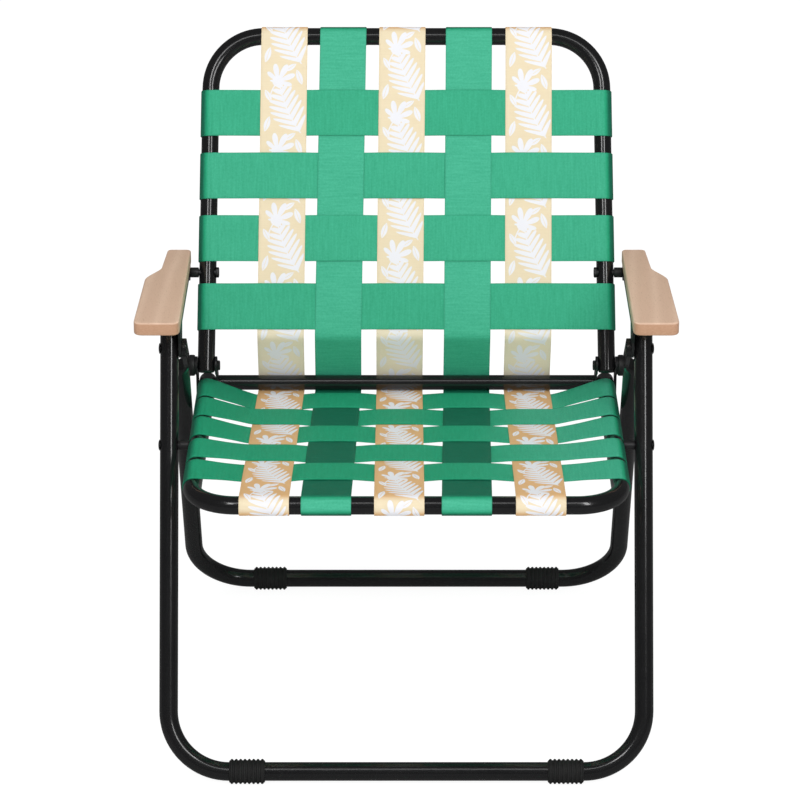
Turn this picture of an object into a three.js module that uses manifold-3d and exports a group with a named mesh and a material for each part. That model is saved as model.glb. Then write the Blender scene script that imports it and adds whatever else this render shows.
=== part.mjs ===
// Folding lawn chair: four bent tube frames, woven webbing and two wooden armrests.
// Millimetres, +Z up, +X to the right of someone who looks at the chair from its front, +Y to its back.
// Seat, back, arms and front legs form a parallelogram of four pivots on each side. The rear legs
// hang on the upper front pivot and nest behind the front legs when the chair is folded.
import * as THREE from 'three';
import { mergeVertices } from 'three/addons/utils/BufferGeometryUtils.js';
import Module from 'manifold-3d';

const wasm = await Module();
wasm.setup();

// Driving dimensions
const GAP = 0.3;
const OVERRUN = 3;
const LEG_TUBE = 22;
const FRAME_TUBE = 21;
const TUBE_WALL = 1.2;
const RAIL_HEIGHT = 14.2;

const FRONT_LEAN = 29.5;
const FRONT_PIVOT_REACH = 497.4;
const FRONT_TOP_REACH = 20;
const LEG_BEND = 71;
const LINK = 114;

const REAR_LEAN = 22.9;
const REAR_OFFSET = 21;
const TONGUE_THICKNESS = 4.9;
const TONGUE_RADIUS = 12;
const TONGUE_HALF = 11;
const TONGUE_REACH = 46;
const ROUND_REACH = 58;
const WEEP_HOLE_RADIUS = 2.5;

const FRAME_WIDTH = 511;
const FRAME_SIDE_GAP = 4;
const SEAT_SLOPE = 6;
const SEAT_FRONT_REACH = 182;
const SEAT_REAR_REACH = 214;
const SEAT_BEND = 52;
const CROSSBAR_TUBE = 18.4;
const CROSSBAR_INSET = 8;

const HINGE_INSET = 28.4;
const HINGE_UP = 30.3;
const BRACKET_SHEET = 2.5;
const BRACKET_RADIUS = 11;
const BRACKET_LENGTH = 21.5;
const BRACKET_SHOULDER = 14.5;
const BRACKET_BACK_HEIGHT = 9;

const BACK_LEAN = 32;
const BACK_HEIGHT = 407;
const BACK_BEND = 65;
const BACK_TAPER = 5;
const BACK_END_REACH = 7;

const ARM_SLOPE = 4.8;
const WOOD_THICKNESS = 16;
const WOOD_REAR_OVERHANG = 12.80615;
const WOOD_OVERHANG = 52;
const WOOD_RISE = 36;
const WOOD_SIDE_OVERHANG = 1;
const WOOD_FRONT_WIDTH = 53.4;
const WOOD_MIDDLE_WIDTH = 50;
const WOOD_REAR_WIDTH = 29;
const WOOD_WIDE_LENGTH = 145;
const WOOD_NECK_LENGTH = 46;
const WOOD_CORNER = 11;
const WOOD_REAR_CORNER = 6;
const WOOD_EDGE = 2.5;

const RAIL_SHEET = 3;
const RAIL_CLEARANCE = 0.4;
const RAIL_WIDTH = 28.4;
const RAIL_DEPTH = 10;
const RAIL_FRONT_INSET = 32;
const RAIL_REAR_INSET = 4;
const EAR_RADIUS = 11;
const REAR_EAR_RADIUS = 10;

const BOLT_RADIUS = 4;
const BOLT_CLEARANCE = 0.4;
const HEAD_RADIUS = 6.5;
const HEAD_HEIGHT = 1.6;
const NUT_HEIGHT = 3.2;
const FLAT_HEAD_HEIGHT = 1.2;
const SPACER_RADIUS = 5.8;
const ARM_SPACER_RADIUS = 6.2;
const DISC_RADIUS = 13;
const DISC_WIDTH = 7.6;
const DISC_EDGE = 1.5;

const SCREW_RADIUS = 2.2;
const SCREW_HEAD_RADIUS = 4.6;
const SCREW_HEAD_HEIGHT = 2;
const SCREW_DEPTH = 10;

const PLUG_FLANGE = 2;
const PLUG_STEM = 5;
const SHORT_PLUG_STEM = 2;

const STRAP_WIDTH = 57;
const STRAP_THICKNESS = 1.6;
const WEAVE = 1.1;
const WEAVE_MARGIN = 1.5;
const HEM_LENGTH = 9;
const BACK_STRAP_DROP = 14;
const BACK_STRAP_SET = 9;
const STRAP_MARGIN = 2;
const PIVOT_STRAP_CLEARANCE = 0.644;
const BRACKET_STRAP_CLEARANCE = 2.02;
const SEAT_BEND_CLEARANCE = 0.49;
const BACK_BEND_CLEARANCE = 3.366;
const UPPER_BOLT_CLEARANCE = 6.175503;
const LOWER_BOLT_CLEARANCE = 7.869997;
const MIDDLE_STRAP_DROP = 0.2035;

const FOOT_LENGTH = 42;
const FOOT_RADIUS = 14.8;
const FOOT_GROOVE = 1.3;
const FOOT_RIBS = 6;
const FRONT_FOOT_INSET = 92.4;
const REAR_FOOT_INSET = 95.5;

// Centres of the long straps as shares of the frame's half width, at the top, the crook and the front
const TOP_STRAP_SHARES = [-0.612, -0.317, -0.02, 0.314, 0.614];
const CROOK_STRAP_SHARES = [-0.629, -0.343, -0.035, 0.302, 0.606];
const FRONT_STRAP_SHARES = [-0.656, -0.37, -0.033, 0.279, 0.62];

// Facet counts
const TUBE_SIDES = 14;
const BORE_SIDES = 10;
const PIN_SIDES = 12;
const BEND_STEPS = 6;
const WRAP_STEPS = 8;
const FOOT_SIDES = 16;

// Sizes worked out from the driving dimensions
const LEG_R = LEG_TUBE / 2;
const FRAME_R = FRAME_TUBE / 2;
const CROSSBAR_R = CROSSBAR_TUBE / 2;
const FRAME_HALF = FRAME_WIDTH / 2 - FRAME_R;
const FRAME_INNER = FRAME_HALF - FRAME_R;
const FRAME_OUTER = FRAME_HALF + FRAME_R;
const REAR_INNER = FRAME_OUTER + FRAME_SIDE_GAP;
const REAR_HALF = REAR_INNER + LEG_R;
const RAIL_INNER = REAR_INNER + TONGUE_THICKNESS + 2 * GAP;
const FRONT_INNER = RAIL_INNER + RAIL_SHEET + RAIL_CLEARANCE;
const FRONT_HALF = FRONT_INNER + LEG_R;
const FRONT_OUTER = FRONT_HALF + LEG_R;
const WOOD_INNER = RAIL_INNER - WOOD_SIDE_OVERHANG;
const HOLE_RADIUS = BOLT_RADIUS + BOLT_CLEARANCE;
const WRAP_GAP = GAP + STRAP_THICKNESS / 2;
const FRAME_WRAP = FRAME_R + WRAP_GAP;
const CROSSBAR_WRAP = CROSSBAR_R + WRAP_GAP;
const PLATE_OUT = FRAME_OUTER + GAP;
const PLATE_IN = FRAME_INNER - GAP;
const CROSSBAR_REACH = SEAT_REAR_REACH - CROSSBAR_INSET;
const HINGE_BACK = SEAT_REAR_REACH - HINGE_INSET;

const radians = THREE.MathUtils.degToRad;
// A point at a distance from another one, along a line that leans back by an angle from the vertical
const along = (from, reach, lean) => new THREE.Vector2(
  from.x + reach * Math.sin(radians(lean)), from.y + reach * Math.cos(radians(lean)));
// The same, square to that line and to its back
const beside = (from, reach, lean) => new THREE.Vector2(
  from.x + reach * Math.cos(radians(lean)), from.y - reach * Math.sin(radians(lean)));

// Side view: x is the distance to the back, y the height
const railPoint = new THREE.Vector2(0, RAIL_HEIGHT);
const upperPivot = along(railPoint, FRONT_PIVOT_REACH, FRONT_LEAN);
const seatPivot = along(upperPivot, -LINK, FRONT_LEAN);
const hinge = along(beside(seatPivot, HINGE_BACK, SEAT_SLOPE), HINGE_UP, SEAT_SLOPE);
const armPivot = along(hinge, LINK, FRONT_LEAN);
const rearReach = (upperPivot.y - RAIL_HEIGHT + REAR_OFFSET * Math.sin(radians(REAR_LEAN)))
  / Math.cos(radians(REAR_LEAN));
// Places inside the back's own frame, whose tube runs midway between its two pivots
const backAxis = -LINK * Math.sin(radians(BACK_LEAN - FRONT_LEAN)) / 2;
const backArmPivot = new THREE.Vector2(2 * backAxis, LINK * Math.cos(radians(BACK_LEAN - FRONT_LEAN)));
// The rear pivot inside the arm's own frame
const armReach = armPivot.clone().sub(upperPivot).rotateAround(new THREE.Vector2(0, 0), radians(ARM_SLOPE));

// Solid helpers
const toSolid = (geometry) => {
  geometry.deleteAttribute('normal');
  geometry.deleteAttribute('uv');
  const merged = mergeVertices(geometry, 1e-4);
  return new wasm.Manifold(new wasm.Mesh({
    numProp: 3,
    vertProperties: new Float32Array(merged.attributes.position.array),
    triVerts: new Uint32Array(merged.index.array),
  }));
};

const toGeometry = (solid) => {
  const mesh = solid.getMesh();
  const geometry = new THREE.BufferGeometry();
  geometry.setAttribute('position', new THREE.BufferAttribute(new Float32Array(mesh.vertProperties), 3));
  geometry.setIndex(new THREE.BufferAttribute(new Uint32Array(mesh.triVerts), 1));
  geometry.computeVertexNormals();
  return geometry;
};

const combine = (first, added = [], cut = []) => {
  let solid = toSolid(first);
  for (const piece of added) solid = solid.add(toSolid(piece));
  for (const piece of cut) solid = solid.subtract(toSolid(piece));
  return toGeometry(solid);
};

const circlePoints = (radius, sides) => Array.from({ length: sides }, (_, i) => {
  const angle = 2 * Math.PI * (i + 0.5) / sides;
  return new THREE.Vector2(radius * Math.cos(angle), radius * Math.sin(angle));
});

// A closed skin over rings of equally many points, with flat ends
const skinRings = (rings) => {
  const count = rings[0].length;
  const positions = rings.flat().flatMap((point) => [point.x, point.y, point.z]);
  const faces = [];
  for (let ring = 0; ring < rings.length - 1; ring += 1) {
    for (let i = 0; i < count; i += 1) {
      const a = ring * count + i;
      const b = ring * count + (i + 1) % count;
      faces.push(a, b, b + count, a, b + count, a + count);
    }
  }
  const last = (rings.length - 1) * count;
  for (let i = 1; i < count - 1; i += 1) {
    faces.push(0, i + 1, i, last, last + i, last + i + 1);
  }
  const geometry = new THREE.BufferGeometry();
  geometry.setAttribute('position', new THREE.Float32BufferAttribute(positions, 3));
  geometry.setIndex(faces);
  return geometry;
};

// A polyline with rounded corners, kept as stations so that straight runs need no steps of their own
class BentPath extends THREE.Curve {
  constructor(corners, radius, stretch = 0) {
    super();
    this.stations = [];
    const first = corners[1].clone().sub(corners[0]).normalize();
    this.stations.push({ point: corners[0].clone().addScaledVector(first, -stretch), tangent: first });
    for (let i = 1; i < corners.length - 1; i += 1) {
      const before = corners[i].clone().sub(corners[i - 1]).normalize();
      const after = corners[i + 1].clone().sub(corners[i]).normalize();
      this.addBend(corners[i], before, after, radius);
    }
    const end = corners[corners.length - 1];
    const last = end.clone().sub(corners[corners.length - 2]).normalize();
    this.stations.push({ point: end.clone().addScaledVector(last, stretch), tangent: last });
  }

  addBend(corner, before, after, radius) {
    const turn = before.angleTo(after);
    const start = corner.clone().addScaledVector(before, -radius * Math.tan(turn / 2));
    const inward = after.clone().addScaledVector(before, -before.dot(after)).normalize();
    const centre = start.clone().addScaledVector(inward, radius);
    for (let step = 0; step <= BEND_STEPS; step += 1) {
      const angle = turn * step / BEND_STEPS;
      const point = centre.clone()
        .addScaledVector(inward, -radius * Math.cos(angle))
        .addScaledVector(before, radius * Math.sin(angle));
      const tangent = before.clone().multiplyScalar(Math.cos(angle)).addScaledVector(inward, Math.sin(angle));
      this.stations.push({ point, tangent });
    }
  }

  station(share) {
    return this.stations[Math.round(share * (this.stations.length - 1))];
  }

  getPointAt(share) {
    return this.station(share).point.clone();
  }

  getTangentAt(share) {
    return this.station(share).tangent.clone();
  }
}

const rod = (corners, bend, radius, sides, stretch) => {
  const path = new BentPath(corners, bend, stretch);
  return new THREE.ExtrudeGeometry(new THREE.Shape(circlePoints(radius, sides)), {
    extrudePath: path, steps: path.stations.length - 1, bevelEnabled: false,
  });
};

// A hollow tube with open ends, and any further solids joined on or cut away
const bentTube = (corners, bend, radius, added = [], cut = []) => combine(
  rod(corners, bend, radius, TUBE_SIDES, 0),
  added,
  [rod(corners, bend, radius - TUBE_WALL, BORE_SIDES, OVERRUN), ...cut],
);

// A solid cylinder along X between two places
const pinAcross = (radius, from, to, y, z, facets = PIN_SIDES) => {
  const low = Math.min(from, to);
  const high = Math.max(from, to);
  const geometry = new THREE.CylinderGeometry(radius, radius, high - low, facets);
  geometry.rotateZ(Math.PI / 2);
  geometry.translate((low + high) / 2, y, z);
  return geometry;
};

// A turned piece on the X axis: its outline pairs a radius with a distance from the middle plane
const turned = (outline, side, y, z, sides = PIN_SIDES) => {
  const geometry = new THREE.LatheGeometry(outline.map(([r, x]) => new THREE.Vector2(r, x)), sides);
  geometry.rotateZ(-side * Math.PI / 2);
  geometry.translate(0, y, z);
  return geometry;
};

// A flat plate in a side view outline, between two distances from the middle plane
const plateAcross = (shape, side, from, to) => {
  const geometry = new THREE.ExtrudeGeometry(shape, { depth: to - from, bevelEnabled: false, curveSegments: 7 });
  const low = side > 0 ? from : -to;
  geometry.applyMatrix4(new THREE.Matrix4().makeBasis(
    new THREE.Vector3(0, 1, 0), new THREE.Vector3(0, 0, 1), new THREE.Vector3(1, 0, 0)));
  geometry.translate(low, 0, 0);
  return geometry;
};

const boxBetween = (xs, ys, zs) => {
  const low = Math.min(...xs);
  const high = Math.max(...xs);
  const geometry = new THREE.BoxGeometry(high - low, ys[1] - ys[0], zs[1] - zs[0]);
  geometry.translate((low + high) / 2, (ys[0] + ys[1]) / 2, (zs[0] + zs[1]) / 2);
  return geometry;
};

const finishes = {
  tube: { color: 0x0b0b0c, roughness: 0.28, metalness: 0.3 },
  bracket: { color: 0x1c1d1f, roughness: 0.4, metalness: 0.5 },
  steel: { color: 0x121213, roughness: 0.35, metalness: 0.7 },
  plastic: { color: 0x0d0d0e, roughness: 0.55, metalness: 0 },
  rubber: { color: 0x101010, roughness: 0.8, metalness: 0 },
  wood: { color: 0xd2a982, roughness: 0.6, metalness: 0 },
  green: { color: 0x1f9a63, roughness: 0.7, metalness: 0 },
  beige: { color: 0xe4c58c, roughness: 0.7, metalness: 0 },
};

const addPiece = (group, name, finish, geometry) => {
  const mesh = new THREE.Mesh(geometry, new THREE.MeshStandardMaterial(finishes[finish]));
  mesh.name = name;
  group.add(mesh);
};

const turnedGroup = (point, angle) => {
  const group = new THREE.Group();
  group.position.set(0, point.x, point.y);
  group.rotation.x = angle;
  return group;
};

const sides = [['left', -1], ['right', 1]];
const vector = (x, y, z) => new THREE.Vector3(x, y, z);

const chair = new THREE.Group();

// Front leg frame: a U of tube, leaning back, in a frame whose origin is the upper pivot
const frontLegs = turnedGroup(upperPivot, radians(-FRONT_LEAN));
const frontCorners = [
  vector(-FRONT_HALF, 0, FRONT_TOP_REACH), vector(-FRONT_HALF, 0, -FRONT_PIVOT_REACH),
  vector(FRONT_HALF, 0, -FRONT_PIVOT_REACH), vector(FRONT_HALF, 0, FRONT_TOP_REACH),
];
const frontReach = FRONT_OUTER + OVERRUN;
addPiece(frontLegs, 'front_leg_frame', 'tube', bentTube(frontCorners, LEG_BEND, LEG_R, [], [
  pinAcross(HOLE_RADIUS, -frontReach, frontReach, 0, 0),
  pinAcross(HOLE_RADIUS, -frontReach, frontReach, 0, -LINK),
]));

// Rear leg frame: a U of tube whose upper ends are pressed into flat tongues
const rearLegs = turnedGroup(upperPivot, radians(REAR_LEAN));
const rearCorners = [
  vector(-REAR_HALF, REAR_OFFSET, -ROUND_REACH), vector(-REAR_HALF, REAR_OFFSET, -rearReach),
  vector(REAR_HALF, REAR_OFFSET, -rearReach), vector(REAR_HALF, REAR_OFFSET, -ROUND_REACH),
];

// The pressed length, from the round tube to the flat tongue, with its inner face kept straight
const pressedEnd = (side) => {
  const stepCount = 5;
  const rings = Array.from({ length: stepCount + 1 }, (_, step) => {
    const share = step / stepCount;
    const ease = THREE.MathUtils.smoothstep(share, 0, 1);
    const halfThickness = THREE.MathUtils.lerp(LEG_R, TONGUE_THICKNESS / 2, ease);
    const halfHeight = THREE.MathUtils.lerp(LEG_R, TONGUE_HALF, ease);
    const squareness = THREE.MathUtils.lerp(1, 0.5, ease);
    return circlePoints(1, TUBE_SIDES).map((point) => vector(
      side * (REAR_INNER + halfThickness + halfThickness * Math.sign(point.x) * Math.abs(point.x) ** squareness),
      REAR_OFFSET + halfHeight * Math.sign(point.y) * Math.abs(point.y) ** squareness,
      THREE.MathUtils.lerp(-ROUND_REACH - OVERRUN, -TONGUE_REACH, share),
    ));
  });
  return skinRings(side > 0 ? rings : rings.map((ring) => [...ring].reverse()));
};

const tongue = (side) => {
  const pull = Math.atan2(REAR_OFFSET, TONGUE_REACH);
  const shape = new THREE.Shape();
  shape.moveTo(REAR_OFFSET - TONGUE_HALF, -TONGUE_REACH - OVERRUN);
  shape.lineTo(REAR_OFFSET + TONGUE_HALF, -TONGUE_REACH - OVERRUN);
  shape.lineTo(REAR_OFFSET + TONGUE_HALF, -TONGUE_REACH);
  shape.absarc(0, 0, TONGUE_RADIUS, pull, Math.PI + pull / 2, false);
  shape.lineTo(REAR_OFFSET - TONGUE_HALF, -TONGUE_REACH);
  return plateAcross(shape, side, REAR_INNER, REAR_INNER + TONGUE_THICKNESS);
};
const weepHole = new THREE.CylinderGeometry(WEEP_HOLE_RADIUS, WEEP_HOLE_RADIUS, LEG_TUBE, PIN_SIDES);
weepHole.translate(0, REAR_OFFSET + LEG_R, -rearReach);
addPiece(rearLegs, 'rear_leg_frame', 'tube', bentTube(
  rearCorners, LEG_BEND, LEG_R,
  sides.flatMap(([, side]) => [pressedEnd(side), tongue(side)]),
  [
    weepHole,
    pinAcross(HOLE_RADIUS, -REAR_HALF - LEG_TUBE, REAR_HALF + LEG_TUBE, 0, 0),
  ],
));

// Seat frame: a U of tube, in a frame whose origin is the seat pivot and whose Y runs back along the seat
const seat = turnedGroup(seatPivot, radians(-SEAT_SLOPE));
const seatCorners = [
  vector(-FRAME_HALF, SEAT_REAR_REACH, 0), vector(-FRAME_HALF, -SEAT_FRONT_REACH, 0),
  vector(FRAME_HALF, -SEAT_FRONT_REACH, 0), vector(FRAME_HALF, SEAT_REAR_REACH, 0),
];
addPiece(seat, 'seat_frame', 'tube', bentTube(seatCorners, SEAT_BEND, FRAME_R, [], [
  pinAcross(HOLE_RADIUS, -frontReach, frontReach, 0, 0),
]));
const barHalf = PLATE_IN - BRACKET_SHEET - GAP;
addPiece(seat, 'seat_crossbar', 'tube', turned([
  [CROSSBAR_R - TUBE_WALL, -barHalf], [CROSSBAR_R, -barHalf], [CROSSBAR_R, barHalf],
  [CROSSBAR_R - TUBE_WALL, barHalf], [CROSSBAR_R - TUBE_WALL, -barHalf],
], 1, CROSSBAR_REACH, 0, TUBE_SIDES));

// Hinge brackets: two plates around the tubes, joined under the seat tube
const bracketFront = SEAT_REAR_REACH - BRACKET_LENGTH;
const bracketBottom = -FRAME_R - GAP - BRACKET_SHEET;
const bracketShape = () => {
  const shape = new THREE.Shape();
  shape.moveTo(bracketFront, bracketBottom);
  shape.lineTo(SEAT_REAR_REACH, bracketBottom);
  shape.lineTo(SEAT_REAR_REACH, BRACKET_BACK_HEIGHT);
  shape.absarc(HINGE_BACK, HINGE_UP, BRACKET_RADIUS, radians(20), radians(250), false);
  shape.lineTo(bracketFront, BRACKET_SHOULDER);
  return shape;
};
const bracket = (side) => combine(
  plateAcross(bracketShape(), side, PLATE_OUT, PLATE_OUT + BRACKET_SHEET),
  [
    plateAcross(bracketShape(), side, PLATE_IN - BRACKET_SHEET, PLATE_IN),
    boxBetween(
      [side * (PLATE_IN - BRACKET_SHEET), side * (PLATE_OUT + BRACKET_SHEET)],
      [bracketFront, SEAT_REAR_REACH], [bracketBottom, bracketBottom + BRACKET_SHEET]),
  ],
  [pinAcross(HOLE_RADIUS, side * FRAME_HALF / 2, side * frontReach, HINGE_BACK, HINGE_UP)],
);

// A bolt or rivet: a low domed head at each end of a plain shank
const doubleHeaded = (inner, innerHeight, outer, outerHeight) => [
  [0, inner - innerHeight], [HEAD_RADIUS * 0.8, inner - innerHeight], [HEAD_RADIUS, inner - innerHeight / 3],
  [HEAD_RADIUS, inner], [BOLT_RADIUS, inner], [BOLT_RADIUS, outer], [HEAD_RADIUS, outer],
  [HEAD_RADIUS, outer + outerHeight / 3], [HEAD_RADIUS * 0.8, outer + outerHeight], [0, outer + outerHeight],
];
const sleeve = (inner, outer, radius) => [
  [HOLE_RADIUS, inner], [radius, inner], [radius, outer], [HOLE_RADIUS, outer], [HOLE_RADIUS, inner],
];
const discInner = PLATE_OUT + BRACKET_SHEET + GAP;
const discOutline = [
  [HOLE_RADIUS, discInner], [DISC_RADIUS - DISC_EDGE, discInner], [DISC_RADIUS, discInner + DISC_EDGE],
  [DISC_RADIUS, discInner + DISC_WIDTH - DISC_EDGE], [DISC_RADIUS - DISC_EDGE, discInner + DISC_WIDTH],
  [HOLE_RADIUS, discInner + DISC_WIDTH], [HOLE_RADIUS, discInner],
];
// A push-in plug: a flange over the tube's end and a stem inside its bore, along +Z from the flange
const plug = (radius, stem) => new THREE.LatheGeometry([
  [0, 0], [radius - GAP, 0], [radius - GAP, PLUG_FLANGE], [radius - TUBE_WALL - 2 * GAP, PLUG_FLANGE],
  [radius - TUBE_WALL - 2 * GAP, PLUG_FLANGE + stem], [0, PLUG_FLANGE + stem],
].map(([r, z]) => new THREE.Vector2(r, z)), PIN_SIDES).rotateX(Math.PI / 2);

for (const [name, side] of sides) {
  addPiece(seat, `hinge_bracket_${name}`, 'bracket', bracket(side));
  addPiece(seat, `hinge_bolt_${name}`, 'steel', turned(
    doubleHeaded(PLATE_IN - BRACKET_SHEET - GAP, NUT_HEIGHT, discInner + DISC_WIDTH + GAP, HEAD_HEIGHT),
    side, HINGE_BACK, HINGE_UP));
  addPiece(seat, `hinge_disc_${name}`, 'plastic', turned(discOutline, side, HINGE_BACK, HINGE_UP, TUBE_SIDES));
  const seatPlug = plug(FRAME_R, PLUG_STEM);
  seatPlug.rotateX(Math.PI / 2);
  seatPlug.translate(side * FRAME_HALF, SEAT_REAR_REACH + GAP + PLUG_FLANGE, 0);
  addPiece(seat, `seat_plug_${name}`, 'plastic', seatPlug);
}

// Pivots and plugs of the front legs
for (const [name, side] of sides) {
  addPiece(frontLegs, `leg_rivet_${name}`, 'steel', turned(
    doubleHeaded(REAR_INNER - GAP, FLAT_HEAD_HEIGHT, FRONT_OUTER + GAP, HEAD_HEIGHT), side, 0, 0));
  addPiece(frontLegs, `seat_rivet_${name}`, 'steel', turned(
    doubleHeaded(FRAME_INNER - GAP, HEAD_HEIGHT, FRONT_OUTER + GAP, HEAD_HEIGHT), side, 0, -LINK));
  addPiece(frontLegs, `seat_spacer_${name}`, 'plastic', turned(
    sleeve(FRAME_OUTER + GAP, FRONT_INNER - GAP, SPACER_RADIUS), side, 0, -LINK));
  const legPlug = plug(LEG_R, PLUG_STEM);
  legPlug.rotateX(Math.PI);
  legPlug.translate(side * FRONT_HALF, 0, FRONT_TOP_REACH + GAP + PLUG_FLANGE);
  addPiece(frontLegs, `leg_plug_${name}`, 'plastic', legPlug);
}

// Back frame: an inverted U, in a frame whose origin is the hinge and whose Z runs up the back
const back = turnedGroup(hinge, radians(-BACK_LEAN));
const backTopHalf = FRAME_HALF - BACK_TAPER;
const backCorners = [
  vector(-FRAME_HALF, backAxis, -BACK_END_REACH), vector(-backTopHalf, backAxis, BACK_HEIGHT),
  vector(backTopHalf, backAxis, BACK_HEIGHT), vector(FRAME_HALF, backAxis, -BACK_END_REACH),
];
addPiece(back, 'back_frame', 'tube', bentTube(backCorners, BACK_BEND, FRAME_R, [], [
  pinAcross(HOLE_RADIUS, -frontReach, frontReach, 0, 0),
  pinAcross(HOLE_RADIUS, -frontReach, frontReach, backArmPivot.x, backArmPivot.y),
]));
const backHalfAt = (height) => FRAME_HALF - BACK_TAPER * height / BACK_HEIGHT;
const armPivotHalf = backHalfAt(backArmPivot.y);
for (const [name, side] of sides) {
  const backPlug = plug(FRAME_R, SHORT_PLUG_STEM - GAP);
  backPlug.translate(side * backHalfAt(-BACK_END_REACH), backAxis, -BACK_END_REACH - GAP - PLUG_FLANGE);
  addPiece(back, `back_plug_${name}`, 'plastic', backPlug);
  addPiece(back, `arm_bolt_${name}`, 'steel', turned(
    doubleHeaded(armPivotHalf - FRAME_R - GAP, NUT_HEIGHT, RAIL_INNER + RAIL_WIDTH + GAP, HEAD_HEIGHT),
    side, backArmPivot.x, backArmPivot.y));
  addPiece(back, `arm_spacer_${name}`, 'plastic', turned(
    sleeve(armPivotHalf + FRAME_R + GAP, RAIL_INNER - GAP, ARM_SPACER_RADIUS),
    side, backArmPivot.x, backArmPivot.y));
}

// Arms: a pressed channel under a wooden armrest, in a frame whose origin is the upper pivot
const arms = turnedGroup(upperPivot, radians(-ARM_SLOPE));
const railTop = WOOD_RISE - GAP;
const railBottom = railTop - RAIL_DEPTH;
const railFront = -WOOD_OVERHANG + RAIL_FRONT_INSET;
const woodRear = armReach.x + WOOD_REAR_OVERHANG;
const woodLength = woodRear + WOOD_OVERHANG;
const railRear = woodRear - RAIL_REAR_INSET;
const cheekShape = (hasFrontEar) => {
  const shape = new THREE.Shape();
  shape.moveTo(railFront, railTop);
  shape.lineTo(railFront, railBottom);
  if (hasFrontEar) {
    shape.lineTo(-EAR_RADIUS, EAR_RADIUS);
    shape.absarc(0, 0, EAR_RADIUS, Math.PI, 2 * Math.PI, false);
    shape.lineTo(2 * EAR_RADIUS, railBottom);
  }
  shape.lineTo(armReach.x - 2 * REAR_EAR_RADIUS, railBottom);
  shape.absarc(armReach.x, armReach.y, REAR_EAR_RADIUS, radians(225), radians(345), false);
  shape.lineTo(railRear, railTop);
  return shape;
};
const screwPlaces = [woodLength / 8, woodLength / 2];
const screwCentre = RAIL_INNER + RAIL_WIDTH / 2;
const drill = (radius, side, place) => {
  const geometry = new THREE.CylinderGeometry(radius, radius, 2 * (SCREW_DEPTH + RAIL_SHEET), PIN_SIDES);
  geometry.rotateX(Math.PI / 2);
  geometry.translate(side * screwCentre, place, railTop);
  return geometry;
};
const armRail = (side) => combine(
  plateAcross(cheekShape(true), side, RAIL_INNER, RAIL_INNER + RAIL_SHEET),
  [
    plateAcross(cheekShape(false), side, RAIL_INNER + RAIL_WIDTH - RAIL_SHEET, RAIL_INNER + RAIL_WIDTH),
    boxBetween(
      [side * RAIL_INNER, side * (RAIL_INNER + RAIL_WIDTH)],
      [railFront, railRear], [railTop - RAIL_SHEET, railTop]),
  ],
  [
    pinAcross(HOLE_RADIUS, side * REAR_HALF / 2, side * frontReach, 0, 0),
    pinAcross(HOLE_RADIUS + GAP, side * REAR_HALF / 2, side * 2 * REAR_HALF, armReach.x, armReach.y),
    ...screwPlaces.map((place) => drill(SCREW_RADIUS + GAP, side, place)),
  ],
);

// The armrest's plan: straight inside, wide in front, drawn in by an S-curve to a narrow rear end
const armrest = (side) => {
  const front = -WOOD_OVERHANG;
  const rear = woodRear;
  const wideEnd = front + WOOD_WIDE_LENGTH;
  const neckEnd = wideEnd + WOOD_NECK_LENGTH;
  const shape = new THREE.Shape();
  shape.moveTo(0, front + WOOD_CORNER);
  shape.quadraticCurveTo(0, front, WOOD_CORNER, front);
  shape.lineTo(WOOD_FRONT_WIDTH - WOOD_CORNER, front);
  shape.quadraticCurveTo(WOOD_FRONT_WIDTH, front, WOOD_FRONT_WIDTH, front + WOOD_CORNER);
  shape.lineTo(WOOD_MIDDLE_WIDTH, wideEnd);
  shape.bezierCurveTo(
    WOOD_MIDDLE_WIDTH - GAP, wideEnd + WOOD_NECK_LENGTH / 3,
    WOOD_REAR_WIDTH + WOOD_EDGE, neckEnd - WOOD_NECK_LENGTH / 3,
    WOOD_REAR_WIDTH + WOOD_EDGE, neckEnd);
  shape.lineTo(WOOD_REAR_WIDTH, rear - WOOD_REAR_CORNER);
  shape.quadraticCurveTo(WOOD_REAR_WIDTH, rear, WOOD_REAR_WIDTH - WOOD_REAR_CORNER, rear);
  shape.lineTo(WOOD_REAR_CORNER, rear);
  shape.quadraticCurveTo(0, rear, 0, rear - WOOD_REAR_CORNER);
  const board = new THREE.ExtrudeGeometry(shape, {
    depth: WOOD_THICKNESS - 2 * WOOD_EDGE, bevelThickness: WOOD_EDGE, bevelSize: WOOD_EDGE,
    bevelOffset: -WOOD_EDGE, bevelSegments: 2, curveSegments: 5,
  });
  board.translate(0, 0, WOOD_RISE + WOOD_EDGE);
  let solid = toSolid(board);
  if (side < 0) solid = solid.mirror([1, 0, 0]);
  solid = solid.translate([side * WOOD_INNER, 0, 0]);
  for (const place of screwPlaces) solid = solid.subtract(toSolid(drill(SCREW_RADIUS + GAP, side, place)));
  return toGeometry(solid);
};

const screw = (side, place) => {
  const head = railTop - RAIL_SHEET - GAP;
  const geometry = new THREE.LatheGeometry([
    [0, head - SCREW_HEAD_HEIGHT], [SCREW_HEAD_RADIUS * 0.7, head - SCREW_HEAD_HEIGHT],
    [SCREW_HEAD_RADIUS, head], [SCREW_RADIUS, head], [SCREW_RADIUS, head + SCREW_DEPTH], [0, head + SCREW_DEPTH],
  ].map(([r, z]) => new THREE.Vector2(r, z)), PIN_SIDES);
  geometry.rotateX(Math.PI / 2);
  geometry.translate(side * screwCentre, place, 0);
  return geometry;
};
for (const [name, side] of sides) {
  addPiece(arms, `arm_rail_${name}`, 'bracket', armRail(side));
  addPiece(arms, `armrest_${name}`, 'wood', armrest(side));
  addPiece(arms, `armrest_screw_front_${name}`, 'steel', screw(side, screwPlaces[0]));
  addPiece(arms, `armrest_screw_rear_${name}`, 'steel', screw(side, screwPlaces[1]));
}

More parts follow.
